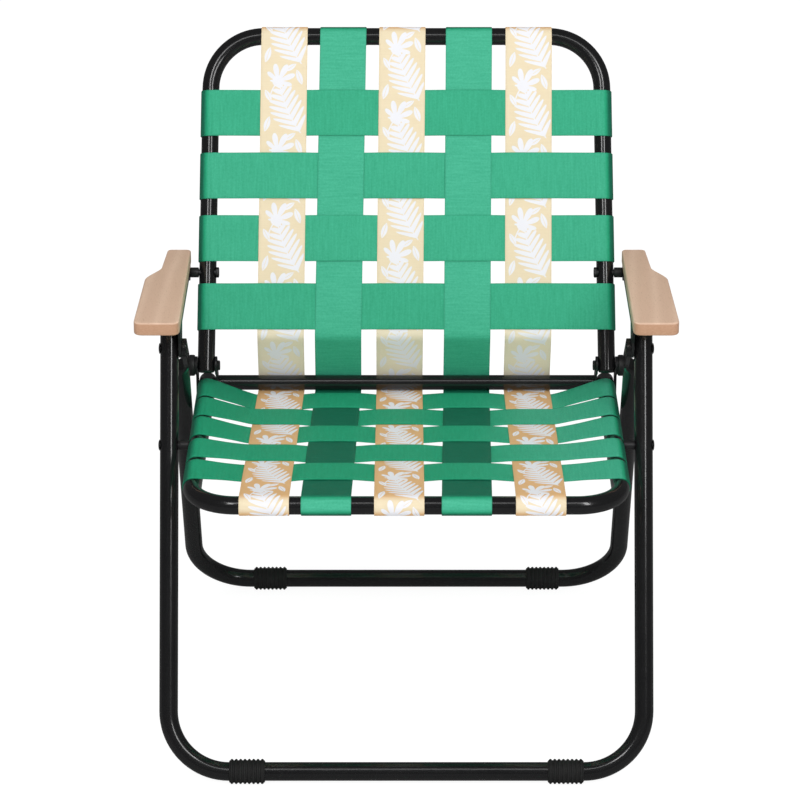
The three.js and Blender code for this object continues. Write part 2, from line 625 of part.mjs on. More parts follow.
// Webbing: a strap is a run of stations, each with a centre, its width direction and its face normal
const strap = (stations) => skinRings(stations.map(({ centre, across, normal }) => {
  const width = across.clone().multiplyScalar(STRAP_WIDTH / 2);
  const depth = normal.clone().multiplyScalar(STRAP_THICKNESS / 2);
  return [
    centre.clone().add(width).add(depth), centre.clone().sub(width).add(depth),
    centre.clone().sub(width).sub(depth), centre.clone().add(width).sub(depth),
  ];
}));

// Stations around a tube, in the plane of the strap's run, from one angle to another. Those in between
// stand out a little, so that the flat lengths that join them clear the tube
const wrap = (centre, radius, from, to) => Array.from({ length: WRAP_STEPS + 1 }, (_, step) => {
  const angle = radians(THREE.MathUtils.lerp(from, to, step / WRAP_STEPS));
  const isEnd = step % WRAP_STEPS === 0;
  const reach = isEnd ? radius : radius / Math.cos(radians((to - from) / WRAP_STEPS / 2));
  return {
    run: centre.x + reach * Math.cos(angle), level: centre.y + reach * Math.sin(angle),
    normal: new THREE.Vector2(Math.cos(angle), Math.sin(angle)),
  };
});
// The angle at which a strap leaves the top of a tube on its way to a point further in
const leavingAngle = (centre, radius, point) => {
  const offset = point.clone().sub(centre);
  return THREE.MathUtils.radToDeg(offset.angle() - Math.acos(radius / offset.length()));
};
// Each strap runs over every second one that it crosses
const liesOver = (longIndex, crossIndex) => (longIndex + crossIndex) % 2 === 0;
const flat = new THREE.Vector2(0, 1);
// A pair of stations that holds the strap level while it crosses another one
const crossing = (middle, level, slope) => [-1, 1].map((end) => {
  const run = middle + end * (STRAP_WIDTH / 2 + WEAVE_MARGIN);
  return { run, level: level + slope * (run - middle), normal: flat };
});

const longIndices = [0, 1, 2, 3, 4];
// Evenly spaced places for cross straps from one place to another, as many as lie side by side
const fillPlaces = (from, to) => {
  const spaces = Math.floor(Math.abs(to - from) / (STRAP_WIDTH + STRAP_MARGIN));
  const places = Array.from({ length: spaces + 1 }, (_, i) => THREE.MathUtils.lerp(from, to, i / spaces));
  return spaces > 0 ? places : [from];
};
const besidePivot = STRAP_WIDTH / 2 + SPACER_RADIUS + PIVOT_STRAP_CLEARANCE;
const seatPlaces = [
  ...fillPlaces(bracketFront - STRAP_WIDTH / 2 - BRACKET_STRAP_CLEARANCE, besidePivot),
  ...fillPlaces(-besidePivot, SEAT_BEND + STRAP_WIDTH / 2 + SEAT_BEND_CLEARANCE - SEAT_FRONT_REACH),
];
const seatRun = SEAT_FRONT_REACH + CROSSBAR_REACH;
const seatSag = (-CROSSBAR_WRAP - FRAME_WRAP) / seatRun;
const seatLevel = (place) => FRAME_WRAP + seatSag * (place + SEAT_FRONT_REACH);
const seatStrapX = (index, place) => FRAME_HALF * THREE.MathUtils.lerp(
  FRONT_STRAP_SHARES[index], CROOK_STRAP_SHARES[index], (place + SEAT_FRONT_REACH) / seatRun);

// Long straps of the seat, from a hem under the front tube to the rear of the crossbar
const seatLongStrap = (index) => {
  const frontTube = new THREE.Vector2(-SEAT_FRONT_REACH, 0);
  const crossbar = new THREE.Vector2(CROSSBAR_REACH, 0);
  const profile = [
    { run: frontTube.x + HEM_LENGTH, level: -FRAME_WRAP, normal: new THREE.Vector2(0, -1) },
    ...wrap(frontTube, FRAME_WRAP, 270, 90),
    ...seatPlaces.map((place, i) => crossing(
      place, seatLevel(place) + (liesOver(index + 1, i + 1) ? WEAVE : -WEAVE), seatSag)).reverse().flat(),
    ...wrap(crossbar, CROSSBAR_WRAP, 270, 360).map((point) => ({ ...point, normal: point.normal.negate() })),
  ];
  return strap(profile.map(({ run, level, normal }) => ({
    centre: vector(seatStrapX(index, run), run, level),
    across: vector(-1, 0, 0),
    normal: vector(0, normal.x, normal.y),
  })));
};

// Cross straps of the seat, from a hem under one side tube, over it, through the long straps and back
const seatCrossStrap = (index) => {
  const place = seatPlaces[index];
  const sideTube = new THREE.Vector2(FRAME_HALF, 0);
  const middles = longIndices.map((i) => seatStrapX(i, place));
  const levels = longIndices.map((i) => seatLevel(place) + (liesOver(i + 1, index + 1) ? -WEAVE : WEAVE));
  const half = (mirror, middle, level) => {
    const first = new THREE.Vector2(mirror * middle + STRAP_WIDTH / 2 + WEAVE_MARGIN, level);
    return [
      { run: FRAME_HALF - HEM_LENGTH, level: -FRAME_WRAP, normal: new THREE.Vector2(0, -1) },
      ...wrap(sideTube, FRAME_WRAP, -90, leavingAngle(sideTube, FRAME_WRAP, first)),
    ].map(({ run, level: height, normal }) => (
      { run: mirror * run, level: height, normal: new THREE.Vector2(mirror * normal.x, normal.y), slope: 0 }));
  };
  const profile = [
    ...half(-1, middles[0], levels[0]),
    ...middles.flatMap((middle, i) => crossing(middle, levels[i], 0)).map((point) => ({ ...point, slope: seatSag })),
    ...half(1, middles[4], levels[4]).reverse(),
  ];
  return strap(profile.map(({ run, level, normal, slope }) => {
    const across = vector(0, 1, slope).normalize();
    return {
      centre: vector(run, place, level),
      across,
      normal: vector(normal.x, -slope * normal.y, normal.y).normalize(),
    };
  }));
};

// Long straps of the back, from a hem behind the top tube down to the crook
const backFront = backAxis - FRAME_WRAP;
const upperPlaces = fillPlaces(
  BACK_HEIGHT - BACK_BEND - STRAP_WIDTH / 2 - BACK_BEND_CLEARANCE,
  backArmPivot.y + HEAD_RADIUS + STRAP_WIDTH / 2 + UPPER_BOLT_CLEARANCE);
const backPlaces = [
  ...upperPlaces.map((place, i, all) => (i > 0 && i < all.length - 1 ? place - MIDDLE_STRAP_DROP : place)),
  backArmPivot.y - HEAD_RADIUS - STRAP_WIDTH / 2 - LOWER_BOLT_CLEARANCE,
];
const backStrapX = (index, height) => FRAME_HALF * THREE.MathUtils.lerp(
  CROOK_STRAP_SHARES[index], TOP_STRAP_SHARES[index], height / BACK_HEIGHT);
const backLongStrap = (index) => {
  const topTube = new THREE.Vector2(BACK_HEIGHT, -backAxis);
  const crook = -BACK_STRAP_DROP;
  const profile = [
    { run: BACK_HEIGHT - HEM_LENGTH, level: -backAxis - FRAME_WRAP, normal: new THREE.Vector2(0, -1) },
    ...wrap(topTube, FRAME_WRAP, -90, 90),
    ...backPlaces.flatMap((place, i) => crossing(
      place, -backFront + (liesOver(index + 1, i + 1) ? WEAVE : -WEAVE), 0).reverse()),
    { run: crook, level: -BACK_STRAP_SET, normal: new THREE.Vector2(0, 1) },
  ];
  return strap(profile.map(({ run, level, normal }) => ({
    centre: vector(backStrapX(index, run), -level, run),
    across: vector(1, 0, 0),
    normal: vector(0, -normal.y, normal.x),
  })));
};

// Cross straps of the back, around both side tubes
const backCrossStrap = (index) => {
  const place = backPlaces[index];
  const half = backHalfAt(place);
  const lean = Math.atan2(BACK_TAPER, BACK_HEIGHT);
  const sideTube = new THREE.Vector2(half, -backAxis);
  const end = (mirror) => [
    { run: half - HEM_LENGTH, level: -backAxis - FRAME_WRAP, normal: new THREE.Vector2(0, -1) },
    ...wrap(sideTube, FRAME_WRAP, -90, 90),
  ].map(({ run, level, normal }) => (
    { run: mirror * run, level, normal: new THREE.Vector2(mirror * normal.x, normal.y), tilt: -mirror * lean }));
  const profile = [
    ...end(-1),
    ...longIndices.flatMap((i) => crossing(
      backStrapX(i, place), -backFront + (liesOver(i + 1, index + 1) ? -WEAVE : WEAVE), 0))
      .map((point) => ({ ...point, tilt: 0 })),
    ...end(1).reverse(),
  ];
  return strap(profile.map(({ run, level, normal, tilt }) => ({
    centre: vector(run, -level, place),
    across: vector(Math.sin(tilt), 0, Math.cos(tilt)),
    normal: vector(normal.x, -normal.y, 0),
  })));
};

for (const index of longIndices) {
  const finish = index % 2 === 0 ? 'beige' : 'green';
  addPiece(seat, `seat_long_strap_${index + 1}`, finish, seatLongStrap(index));
  addPiece(back, `back_long_strap_${index + 1}`, finish, backLongStrap(index));
}
seatPlaces.forEach((_, index) => {
  addPiece(seat, `seat_cross_strap_${index + 1}`, 'green', seatCrossStrap(index));
});
backPlaces.forEach((_, index) => {
  addPiece(back, `back_cross_strap_${index + 1}`, 'green', backCrossStrap(index));
});

// Feet: ribbed grips around both rails, cut flat where they meet the floor
const foot = (place) => {
  const half = FOOT_LENGTH / 2;
  const pitch = FOOT_LENGTH / FOOT_RIBS;
  const outline = [[0, -half]];
  for (let rib = 0; rib < FOOT_RIBS; rib += 1) {
    const start = -half + rib * pitch;
    outline.push([FOOT_RADIUS - FOOT_GROOVE, start], [FOOT_RADIUS, start + pitch / 3]);
    outline.push([FOOT_RADIUS, start + 2 * pitch / 3]);
  }
  outline.push([FOOT_RADIUS - FOOT_GROOVE, half], [0, half]);
  const grip = turned(outline, 1, 0, 0, FOOT_SIDES);
  grip.translate(place, 0, 0);
  const floorCut = boxBetween(
    [place - FOOT_LENGTH, place + FOOT_LENGTH], [-2 * FOOT_RADIUS, 2 * FOOT_RADIUS],
    [-RAIL_HEIGHT - FOOT_RADIUS, -RAIL_HEIGHT]);
  return combine(grip, [], [
    pinAcross(LEG_R + 2 * GAP, place - FOOT_LENGTH, place + FOOT_LENGTH, 0, 0, FOOT_SIDES),
    floorCut,
  ]);
};
const rearRail = along(beside(upperPivot, REAR_OFFSET, -REAR_LEAN), -rearReach, -REAR_LEAN);
const frontFeet = turnedGroup(railPoint, 0);
const rearFeet = turnedGroup(rearRail, 0);
for (const [name, side] of sides) {
  addPiece(frontFeet, `front_foot_${name}`, 'rubber', foot(side * (FRONT_HALF - FRONT_FOOT_INSET)));
  addPiece(rearFeet, `rear_foot_${name}`, 'rubber', foot(side * (REAR_HALF - REAR_FOOT_INSET)));
}

chair.add(frontLegs, rearLegs, seat, back, arms, frontFeet, rearFeet);

// The origin lies on the floor, in the middle of the outer box
chair.updateMatrixWorld(true);
const outerBox = new THREE.Box3().setFromObject(chair, true);
chair.position.y = -(outerBox.min.y + outerBox.max.y) / 2;

export default chair;
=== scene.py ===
"""Folding lawn chair with a black tube frame, woven webbing and wooden armrests, in metres."""
from math import acos, atan2, copysign, cos, degrees, hypot, pi, radians, sin

import bmesh
import bpy
from mathutils import Matrix, Vector


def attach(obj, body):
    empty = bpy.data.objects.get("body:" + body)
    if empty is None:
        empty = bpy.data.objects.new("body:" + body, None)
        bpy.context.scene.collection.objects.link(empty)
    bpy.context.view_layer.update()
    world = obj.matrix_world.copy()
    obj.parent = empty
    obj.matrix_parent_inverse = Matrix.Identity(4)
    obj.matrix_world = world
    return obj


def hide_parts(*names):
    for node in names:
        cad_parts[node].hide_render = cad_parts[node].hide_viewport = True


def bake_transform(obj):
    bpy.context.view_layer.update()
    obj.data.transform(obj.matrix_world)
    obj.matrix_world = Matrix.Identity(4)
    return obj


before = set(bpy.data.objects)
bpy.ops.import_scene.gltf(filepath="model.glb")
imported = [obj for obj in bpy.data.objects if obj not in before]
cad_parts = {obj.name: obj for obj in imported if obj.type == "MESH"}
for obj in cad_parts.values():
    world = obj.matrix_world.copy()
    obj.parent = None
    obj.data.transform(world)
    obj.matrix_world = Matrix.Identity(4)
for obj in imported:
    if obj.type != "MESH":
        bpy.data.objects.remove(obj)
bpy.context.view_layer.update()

# Sizes of the chair in millimetres, its angles in degrees

MM = 0.001
SIDES = (("left", -1), ("right", 1))
GAP = 0.3
LEG_RADIUS = 11.0
FRAME_RADIUS = 10.5
CROSSBAR_RADIUS = 9.2
RAIL_HEIGHT = 14.2
FRONT_PLACE = -293.884
FRONT_LEAN = 29.5
REAR_LEAN = 22.9
SEAT_SLOPE = 6.0
BACK_LEAN = 32.0
ARM_SLOPE = 4.8
LINK = 114.0
FRONT_REACH = 497.4
FRONT_TOP = 20.0
FRONT_HALF = 279.4
REAR_HALF = 270.5
REAR_OFFSET = 21.0
FRAME_HALF = 245.0
FRAME_INNER = FRAME_HALF - FRAME_RADIUS
FRAME_OUTER = FRAME_HALF + FRAME_RADIUS
LEG_BEND = 71.0
SEAT_BEND = 52.0
BACK_BEND = 65.0
SEAT_FRONT = 182.0
SEAT_REAR = 214.0
CROSSBAR_PLACE = 206.0
HINGE_BACK = 185.6
HINGE_UP = 30.3
HOLE_RADIUS = 4.4
SHANK_RADIUS = 4
HEAD_RADIUS = 6.5
HEAD_HEIGHT = 1.6
FLAT_HEAD_HEIGHT = 1.2
NUT_ACROSS = 11.5
NUT_HEIGHT = 3.2
NUT_WASHER = 1.0
PLUG_HEAD = 2.0
PLUG_WALL = 1.8
LONG_STEM = 5
SHORT_STEM = 1.7
BRACKET_SHEET = 2.8
DISC_RADIUS = 13
DISC_WIDTH = 7.6
DISC_EDGE = 1.8
SPACER_EDGE = 0.9
SEAT_SPACER_RADIUS = 5.8
ARM_SPACER_RADIUS = 6.2
ARM_RAIL_INNER = 264.7
ARM_RAIL_OUTER = 293.7
WOOD_INNER = 264.0
WOOD_FRONT = -52.0
WOOD_LOW = 36.0
WOOD_HIGH = 52.0
WOOD_EDGE = 2.2
WOOD_LENGTH = 251.0
WOOD_WIDTH = 53.4
WOOD_WIDE_RUN = 145.0
WOOD_WAIST = 50
WOOD_DRAW = 18
WOOD_NECK_RUN = 46.0
WOOD_END_WIDTH = 29
FRONT_FOOT = 187.0
REAR_FOOT = 175.0
FOOT_HALF = 21
FOOT_RADIUS = 13.2
FOOT_EDGE = 1.2
FOOT_GAP = 0.35
GRIP_RIBS = 8
GRIP_PITCH = 5.1
GRIP_RADIUS = 13.15
GRIP_RIB_RADIUS = 1.65
SOLE_TOP = 11.5
SOLE_HALF = 9
BACK_HEIGHT = 407.0
BACK_TAPER = 5.0
BACK_END = 7.0
BACK_AXIS = -LINK * sin(radians(BACK_LEAN - FRONT_LEAN)) / 2
STRAP_WIDTH = 57.0
STRAP_THICKNESS = 1.5
STRAP_REACH = 29.5
HEM = 9.0
LONG_WAVE = 0.75
CROSS_WAVE = 1.3
WRAP_GAP = GAP + 0.8
FRAME_WRAP = FRAME_RADIUS + WRAP_GAP
CROSSBAR_WRAP = CROSSBAR_RADIUS + WRAP_GAP
TOP_SHARES = (-0.612, -0.317, -0.02, 0.314, 0.614)
CROOK_SHARES = (-0.629, -0.343, -0.035, 0.302, 0.606)
FRONT_SHARES = (-0.656, -0.37, -0.033, 0.279, 0.62)
BACK_PLACES = tuple(share * BACK_HEIGHT for share in (0.762, 0.571, 0.381, 0.1745))
SEAT_PLACES = tuple(share * SEAT_FRONT for share in (0.89, 0.541, 0.192, -0.192, -0.555))


# Camera, floor and light

def placed_object(name, data):
    made = bpy.data.objects.new(name, data)
    bpy.context.collection.objects.link(made)
    return made


def make_camera():
    data = bpy.data.cameras.new("camera")
    data.sensor_width = 36
    data.lens = 157.5
    data.shift_x = -0.008
    data.shift_y = 0.0022
    data.clip_end = 50
    camera = placed_object("camera", data)
    camera.location = (0, -3.747, 2.285)
    camera.rotation_euler = (radians(90 - 27.3), 0, 0)
    bpy.context.scene.camera = camera


def make_lamp(name, size, watts, place, target=(0, 0, 0.4), mirrored=True):
    data = bpy.data.lights.new(name, "AREA")
    data.shape = "RECTANGLE"
    data.size, data.size_y = size
    data.energy = watts
    lamp = placed_object(name, data)
    lamp.location = place
    aim = Vector(target) - Vector(place)
    lamp.rotation_euler = aim.to_track_quat("-Z", "Y").to_euler()
    lamp.visible_glossy = mirrored


AMBIENT = 0.48
GLOSS_AMBIENT = 0.07
FLOOR_REACH = 12
FLOOR_GLOW = 1.16
FLOOR_GLOW_SHARE = 0.8
FLOOR_IN_GLOSS = 0.08
FLOOR_IN_GLOSS_SHARE = 0.9


def make_world():
    """White to the camera, soft grey as a lamp and nearly black in glossy paint."""
    world = bpy.data.worlds.new("studio")
    bpy.context.scene.world = world
    shader = Shader(world)
    path = shader.add("ShaderNodeLightPath")
    seen = path.out("Is Camera Ray") * (1 - AMBIENT)
    mirrored = path.out("Is Glossy Ray") * (AMBIENT - GLOSS_AMBIENT)
    background = shader.add("ShaderNodeBackground", Color=(1, 1, 1, 1), Strength=seen - mirrored + AMBIENT)
    shader.add("ShaderNodeOutputWorld", Surface=background.out("Background"))


def make_floor():
    """A pale floor, mostly white to the camera and nearly black in glossy paint."""
    corners = [(x * FLOOR_REACH, y * FLOOR_REACH, 0) for x, y in ((-1, -1), (1, -1), (1, 1), (-1, 1))]
    floor = new_piece("floor", corners, [(0, 1, 2, 3)])
    material, shader = new_material("pale_floor")
    path = shader.add("ShaderNodeLightPath")
    matte = shader.add("ShaderNodeBsdfDiffuse", Color=(0.88, 0.88, 0.88, 1)).out("BSDF")
    glow = shader.add("ShaderNodeEmission", Strength=FLOOR_GLOW).out("Emission")
    seen = shader.blend(path.out("Is Camera Ray") * FLOOR_GLOW_SHARE, matte, glow)
    dark = shader.add("ShaderNodeEmission", Strength=FLOOR_IN_GLOSS).out("Emission")
    dimmed = shader.blend(path.out("Is Glossy Ray") * FLOOR_IN_GLOSS_SHARE, seen, dark)
    shader.add("ShaderNodeOutputMaterial", Surface=dimmed)
    floor.data.materials.append(material)


# Node trees

def operation(name):
    return lambda value, *others: value.math(name, *others)


class Socket:
    """An output in a node tree. Arithmetic on it adds Math nodes."""

    def __init__(self, nodes, link):
        self.nodes = nodes
        self.link = link

    def math(self, name, *others, clamp=False):
        node = self.nodes.add("ShaderNodeMath", settings={"operation": name, "use_clamp": clamp})
        for place, value in enumerate((self, *others)):
            node.feed(place, value)
        return node.out(0)

    def __rsub__(self, other):
        return (self * -1) + other

    def below(self, limit, soft):
        """1 where this is well below limit and 0 above it, with a soft edge."""
        return ((limit - self) / soft + 0.5).math("ADD", 0.0, clamp=True)

    __add__ = __radd__ = operation("ADD")
    __sub__ = operation("SUBTRACT")
    __mul__ = __rmul__ = operation("MULTIPLY")
    __truediv__ = operation("DIVIDE")
    __pow__ = operation("POWER")
    most = operation("MAXIMUM")
    size = operation("ABSOLUTE")
    sine = operation("SINE")
    cosine = operation("COSINE")


class Node:
    """A node of a tree, fed and read by the names or places of its sockets."""

    def __init__(self, nodes, node):
        self.nodes = nodes
        self.node = node

    def feed(self, name, value):
        socket = self.node.inputs[name]
        if isinstance(value, Socket):
            self.nodes.tree.links.new(value.link, socket)
        else:
            socket.default_value = value

    def out(self, name):
        return Socket(self.nodes, self.node.outputs[name])


class Nodes:
    """Adds nodes to a tree."""

    def __init__(self, tree):
        self.tree = tree

    def add(self, kind, settings=None, **inputs):
        made = self.tree.nodes.new(kind)
        for name, value in (settings or {}).items():
            setattr(made, name, value)
        node = Node(self, made)
        for name, value in inputs.items():
            node.feed(name.replace("_", " "), value)
        return node


class Shader(Nodes):
    """Builds the node tree of a material or of the world."""

    def __init__(self, owner):
        owner.use_nodes = True
        super().__init__(owner.node_tree)
        self.tree.nodes.clear()

    def mix(self, factor, first, second):
        node = self.add("ShaderNodeMix", settings={"data_type": "RGBA"})
        node.feed(0, factor)
        node.feed(6, first)
        node.feed(7, second)
        return node.out(2)

    def blend(self, factor, first, second):
        """One surface passing into another."""
        node = self.add("ShaderNodeMixShader")
        for place, value in enumerate((factor, first, second)):
            node.feed(place, value)
        return node.out("Shader")

    def noise(self, vector, scale, detail=3.0, roughness=0.55):
        node = self.add("ShaderNodeTexNoise", Vector=vector, Scale=scale, Detail=detail, Roughness=roughness)
        return node.out("Fac")

    def stretched(self, vector, scale, turn=(0, 0, 0)):
        return self.add("ShaderNodeMapping", Vector=vector, Scale=scale, Rotation=turn).out("Vector")

    def place(self):
        return self.add("ShaderNodeTexCoord").out("Object")

    def painted_light(self):
        """Painted light of a strap, from its attribute: 0 for painted shade on the level seat, 1 facing
        forwards, more where it is painted brightest.
        """
        return self.add("ShaderNodeAttribute", settings={"attribute_name": "painted_light"}).out("Fac")

    def strap_place(self):
        """Across and along a strap, in millimetres."""
        uv = self.add("ShaderNodeUVMap", settings={"uv_map": "strap"}).out("UV")
        split = self.add("ShaderNodeSeparateXYZ", Vector=uv)
        return split.out("X") * 1000, split.out("Y") * 1000

    def surface(self, colour, roughness, height, strength, distance=0.0005, **fixed):
        """The finish itself, with a bump and fixed values for further sockets."""
        bump = self.add("ShaderNodeBump", Height=height, Strength=strength, Distance=distance)
        principled = self.add("ShaderNodeBsdfPrincipled", Base_Color=colour, Roughness=roughness, **fixed)
        principled.feed("Normal", bump.out("Normal"))
        self.add("ShaderNodeOutputMaterial", Surface=principled.out("BSDF"))


# Colours of the webbing's darker and lighter threads, each with painted shade and light: shaded where level,
# half lit where half risen, lit where upright
GREEN_DARK = ((0.004, 0.11, 0.057, 1), (0.009, 0.29, 0.14, 1), (0.036, 0.382, 0.222, 1))
GREEN_LIGHT = ((0.0125, 0.19, 0.11, 1), (0.024, 0.425, 0.22, 1), (0.082, 0.535, 0.335, 1))
GREEN_EDGE = (0.01, 0.14, 0.07, 1)
# The same, with painted shade where level and painted light where upright
BEIGE_DARK = ((0.715, 0.42, 0.19, 1), (0.79, 0.66, 0.44, 1))
BEIGE_LIGHT = ((0.86, 0.545, 0.265, 1), (0.90, 0.79, 0.57, 1))
# Painted light on the beige band just above the crossbar
BEIGE_PAINTED_BRIGHT = (1.0, 1.0, 0.9, 1)
BEIGE_EDGE = (0.6, 0.42, 0.22, 1)
PRINT_WHITE = (0.86, 0.86, 0.90, 1)
PRINT_PERIOD = 86.0
PRINT_MARGIN = 1.4
# The print's small leaves: centre, half length, half width and turn
SMALL_LEAVES = (
    ((20.0, 8.0), 10.0, 3.6, -0.3),
    ((19.0, 43.0), 8.5, 3.2, 0.5),
    ((-19.0, 66.0), 10.0, 3.6, 0.35),
    ((-8.0, 78.0), 8.5, 3.2, -1.0),
)
RIB_PITCH = 1.25
WARP_PITCH = 0.9
WOOD_DARK = (0.69, 0.47, 0.335, 1)
WOOD_LIGHT = (0.84, 0.61, 0.455, 1)
WOOD_WARM = (0.73, 0.475, 0.335, 1)
WOOD_FLECK = (0.47, 0.28, 0.17, 1)
# End grain of the sawn front, darkened further as painted shade
WOOD_END_GRAIN_AND_SHADE_DARK = (0.44, 0.215, 0.115, 1)
WOOD_END_GRAIN_AND_SHADE_LIGHT = (0.68, 0.425, 0.28, 1)


def new_material(name):
    material = bpy.data.materials.new(name)
    return material, Shader(material)


def lighter(colour, gain, lift):
    return tuple(c * gain + lift for c in colour[:3]) + (1,)


def painted_steel(name, colour, roughness, coat):
    """Sprayed black paint: a faint orange peel, fine dust and slightly duller patches."""
    material, shader = new_material(name)
    place = shader.place()
    peel = shader.noise(place, 420.0, 2.0)
    patches = shader.noise(place, 22.0, 4.0)
    specks = shader.noise(place, 1500.0, 1.0).below(0.32, 0.06)
    tint = shader.mix(patches * 0.35 + specks * 0.35, colour, lighter(colour, 1.9, 0.006))
    rough = patches * 0.16 + (roughness - 0.08) + specks * 0.2
    shader.surface(tint, rough, peel, 0.06, Coat_Weight=coat, Coat_Roughness=0.06)
    return material


def moulded_plastic(name, colour, roughness):
    """Plastic and rubber with a fine mould grain and faint rubbed patches."""
    material, shader = new_material(name)
    place = shader.place()
    grain = shader.noise(place, 1800.0, 2.0)
    rubbed = shader.noise(place, 60.0, 3.0)
    tint = shader.mix(rubbed * 0.5, colour, lighter(colour, 2.2, 0.01))
    shader.surface(tint, rubbed * 0.2 + (roughness - 0.1), grain, 0.25, distance=0.0003)
    return material


def zinc_screw(name):
    """Blackened steel with a worn, slightly brighter face."""
    material, shader = new_material(name)
    worn = shader.noise(shader.place(), 260.0, 4.0)
    tint = shader.mix(worn, (0.012, 0.012, 0.013, 1), (0.06, 0.06, 0.062, 1))
    shader.surface(tint, worn * 0.25 + 0.22, worn, 0.15, Metallic=0.6)
    return material


def arm_front_grain_and_shade(split):
    """1 on the sawn front end of an armrest, below its rounded upper edge, where end grain and painted shade
    darken the wood.
    """
    lean = radians(ARM_SLOPE)
    back = split.out("Y") * 1000 - UPPER_PIVOT.y
    up = split.out("Z") * 1000 - UPPER_PIVOT.z
    reach = back * cos(lean) - up * sin(lean)
    level = back * sin(lean) + up * cos(lean)
    return reach.below(WOOD_FRONT + 6, 5.0) * level.below(WOOD_HIGH - 1.6, 1.0)


def beech(name):
    """Pale beech: long streaks, growth lines, dark flecks, and redder end grain in front, darkened further as
    painted shade.
    """
    material, shader = new_material(name)
    place = shader.place()
    wander = shader.noise(shader.stretched(place, (9.0, 1.4, 9.0)), 1.0)
    split = shader.add("ShaderNodeSeparateXYZ", Vector=place)
    streaks = shader.noise(shader.stretched(place, (420.0, 6.0, 420.0)), 1.0, 4.0, 0.6)
    lines = split.out("X") * 260 + split.out("Z") * 170 + wander * 9.0
    bands = (lines.sine() * 0.5 + 0.5) ** 2.2
    flecks = shader.noise(shader.stretched(place, (1500.0, 150.0, 1500.0)), 1.0, 2.0).below(0.36, 0.05)
    tone = shader.noise(place, 7.0, 2.0)
    tint = shader.mix(bands * 0.5 + streaks * 0.45, WOOD_DARK, WOOD_LIGHT)
    tint = shader.mix(tone * 0.35, tint, WOOD_WARM)
    tint = shader.mix(flecks * 0.5, tint, WOOD_FLECK)
    end_streaks = shader.noise(shader.stretched(place, (300.0, 300.0, 1500.0), (0, 0.7, 0)), 1.0, 2.0)
    tint = shader.mix(arm_front_grain_and_shade(split), tint, shader.mix(end_streaks, WOOD_END_GRAIN_AND_SHADE_DARK, WOOD_END_GRAIN_AND_SHADE_LIGHT))
    relief = streaks * 0.6 - flecks * 0.5
    shader.surface(tint, streaks * 0.15 + 0.42, relief, 0.12, Coat_Weight=0.12, Coat_Roughness=0.3)
    return material


def woven_surface(across, along):
    """Height of the band: close ribs across it, warp threads along it and a firm edge."""
    rib = (along * (2 * pi / RIB_PITCH)).sine() * 0.5 + 0.5
    shift = (along * (pi / RIB_PITCH)).sine() * 0.8
    warp = (across * (2 * pi / WARP_PITCH) + shift).sine() * 0.5 + 0.5
    edge = (across.size() - (STRAP_WIDTH / 2 - 1.6)).math("MULTIPLY", 0.8, clamp=True)
    return rib * 0.7 + warp * 0.3 + edge * 0.8, rib, warp, edge


def woven_streaks(shader, across, along):
    """Slightly lighter and darker weft threads, which run across the band."""
    spot = shader.add("ShaderNodeCombineXYZ", X=across * 0.035, Y=along * 0.42)
    return shader.noise(spot.out("Vector"), 1.0, 2.0)


def green_at(shader, painted_light, colours):
    """The colour between three, by the strap's painted light: shaded, half lit and lit."""
    level, half, upright = colours
    return shader.mix(painted_light * 2 - 1, shader.mix(painted_light * 2, level, half), upright)


def green_webbing(name):
    """Satin green band with painted light: painted shade, deeper, where it lies level on the seat, lighter
    where it rises up the back.
    """
    material, shader = new_material(name)
    across, along = shader.strap_place()
    height, rib, warp, edge = woven_surface(across, along)
    place = shader.place()
    cloud = shader.noise(place, 14.0)
    thread = shader.noise(place, 430.0, 3.0, 0.7)
    slub = woven_streaks(shader, across, along)
    painted_light = shader.painted_light()
    share = rib * 0.3 + warp * 0.15 + thread * 1.1 + cloud * 0.2 + slub * 0.9 - 0.8
    body = shader.mix(share, green_at(shader, painted_light, GREEN_DARK), green_at(shader, painted_light, GREEN_LIGHT))
    tint = shader.mix(edge * 0.25, body, GREEN_EDGE)
    shader.surface(tint, cloud * 0.12 + 0.42, height, 0.5, distance=0.0004, Specular_IOR_Level=0.2)
    return material


def from_leaf(across, along, centre, turn):
    """Forward and sideways from a leaf's centre, repeated along the strap."""
    run = (along - centre[1] + PRINT_PERIOD / 2).math("FLOORED_MODULO", PRINT_PERIOD) - PRINT_PERIOD / 2
    side = across - centre[0]
    cosine, sine = cos(turn), sin(turn)
    return run * cosine + side * sine, side * cosine - run * sine


def fan_leaf(across, along, centre, reach, turn, fingers):
    """A fan of narrow fingers on a short stalk."""
    forward, sideways = from_leaf(across, along, centre, turn)
    radius = (forward * forward + sideways * sideways) ** 0.5
    angle = sideways.math("ARCTAN2", forward)
    finger = (angle * fingers).cosine().size() ** 0.55
    taper = (angle * 0.62).cosine().most(0.02) ** 0.7
    fan = (radius - reach * finger * taper * 0.98).below(0.0, 0.7)
    heart = radius.below(reach * 0.3, 0.7)
    stalk = (sideways + (forward * 0.16).sine() * 1.1).size().below(0.75, 0.5)
    low = (forward * -1).below(reach * 0.95, 0.7)
    behind = forward.below(0.0, 0.7)
    return fan.most(heart).most(stalk * low * behind)


def lens_leaf(across, along, centre, half_length, half_width, turn):
    """A single pointed leaf with a vein."""
    forward, sideways = from_leaf(across, along, centre, turn)
    forward, sideways = forward / half_length, sideways.size()
    room = (1 - forward * forward).most(0.0) * half_width
    inside = (sideways - room).below(0.0, 0.6) * forward.size().below(1.0, 0.05)
    vein = sideways.below(0.28, 0.25) * forward.size().below(0.8, 0.1)
    return inside * (vein * -0.9 + 1)


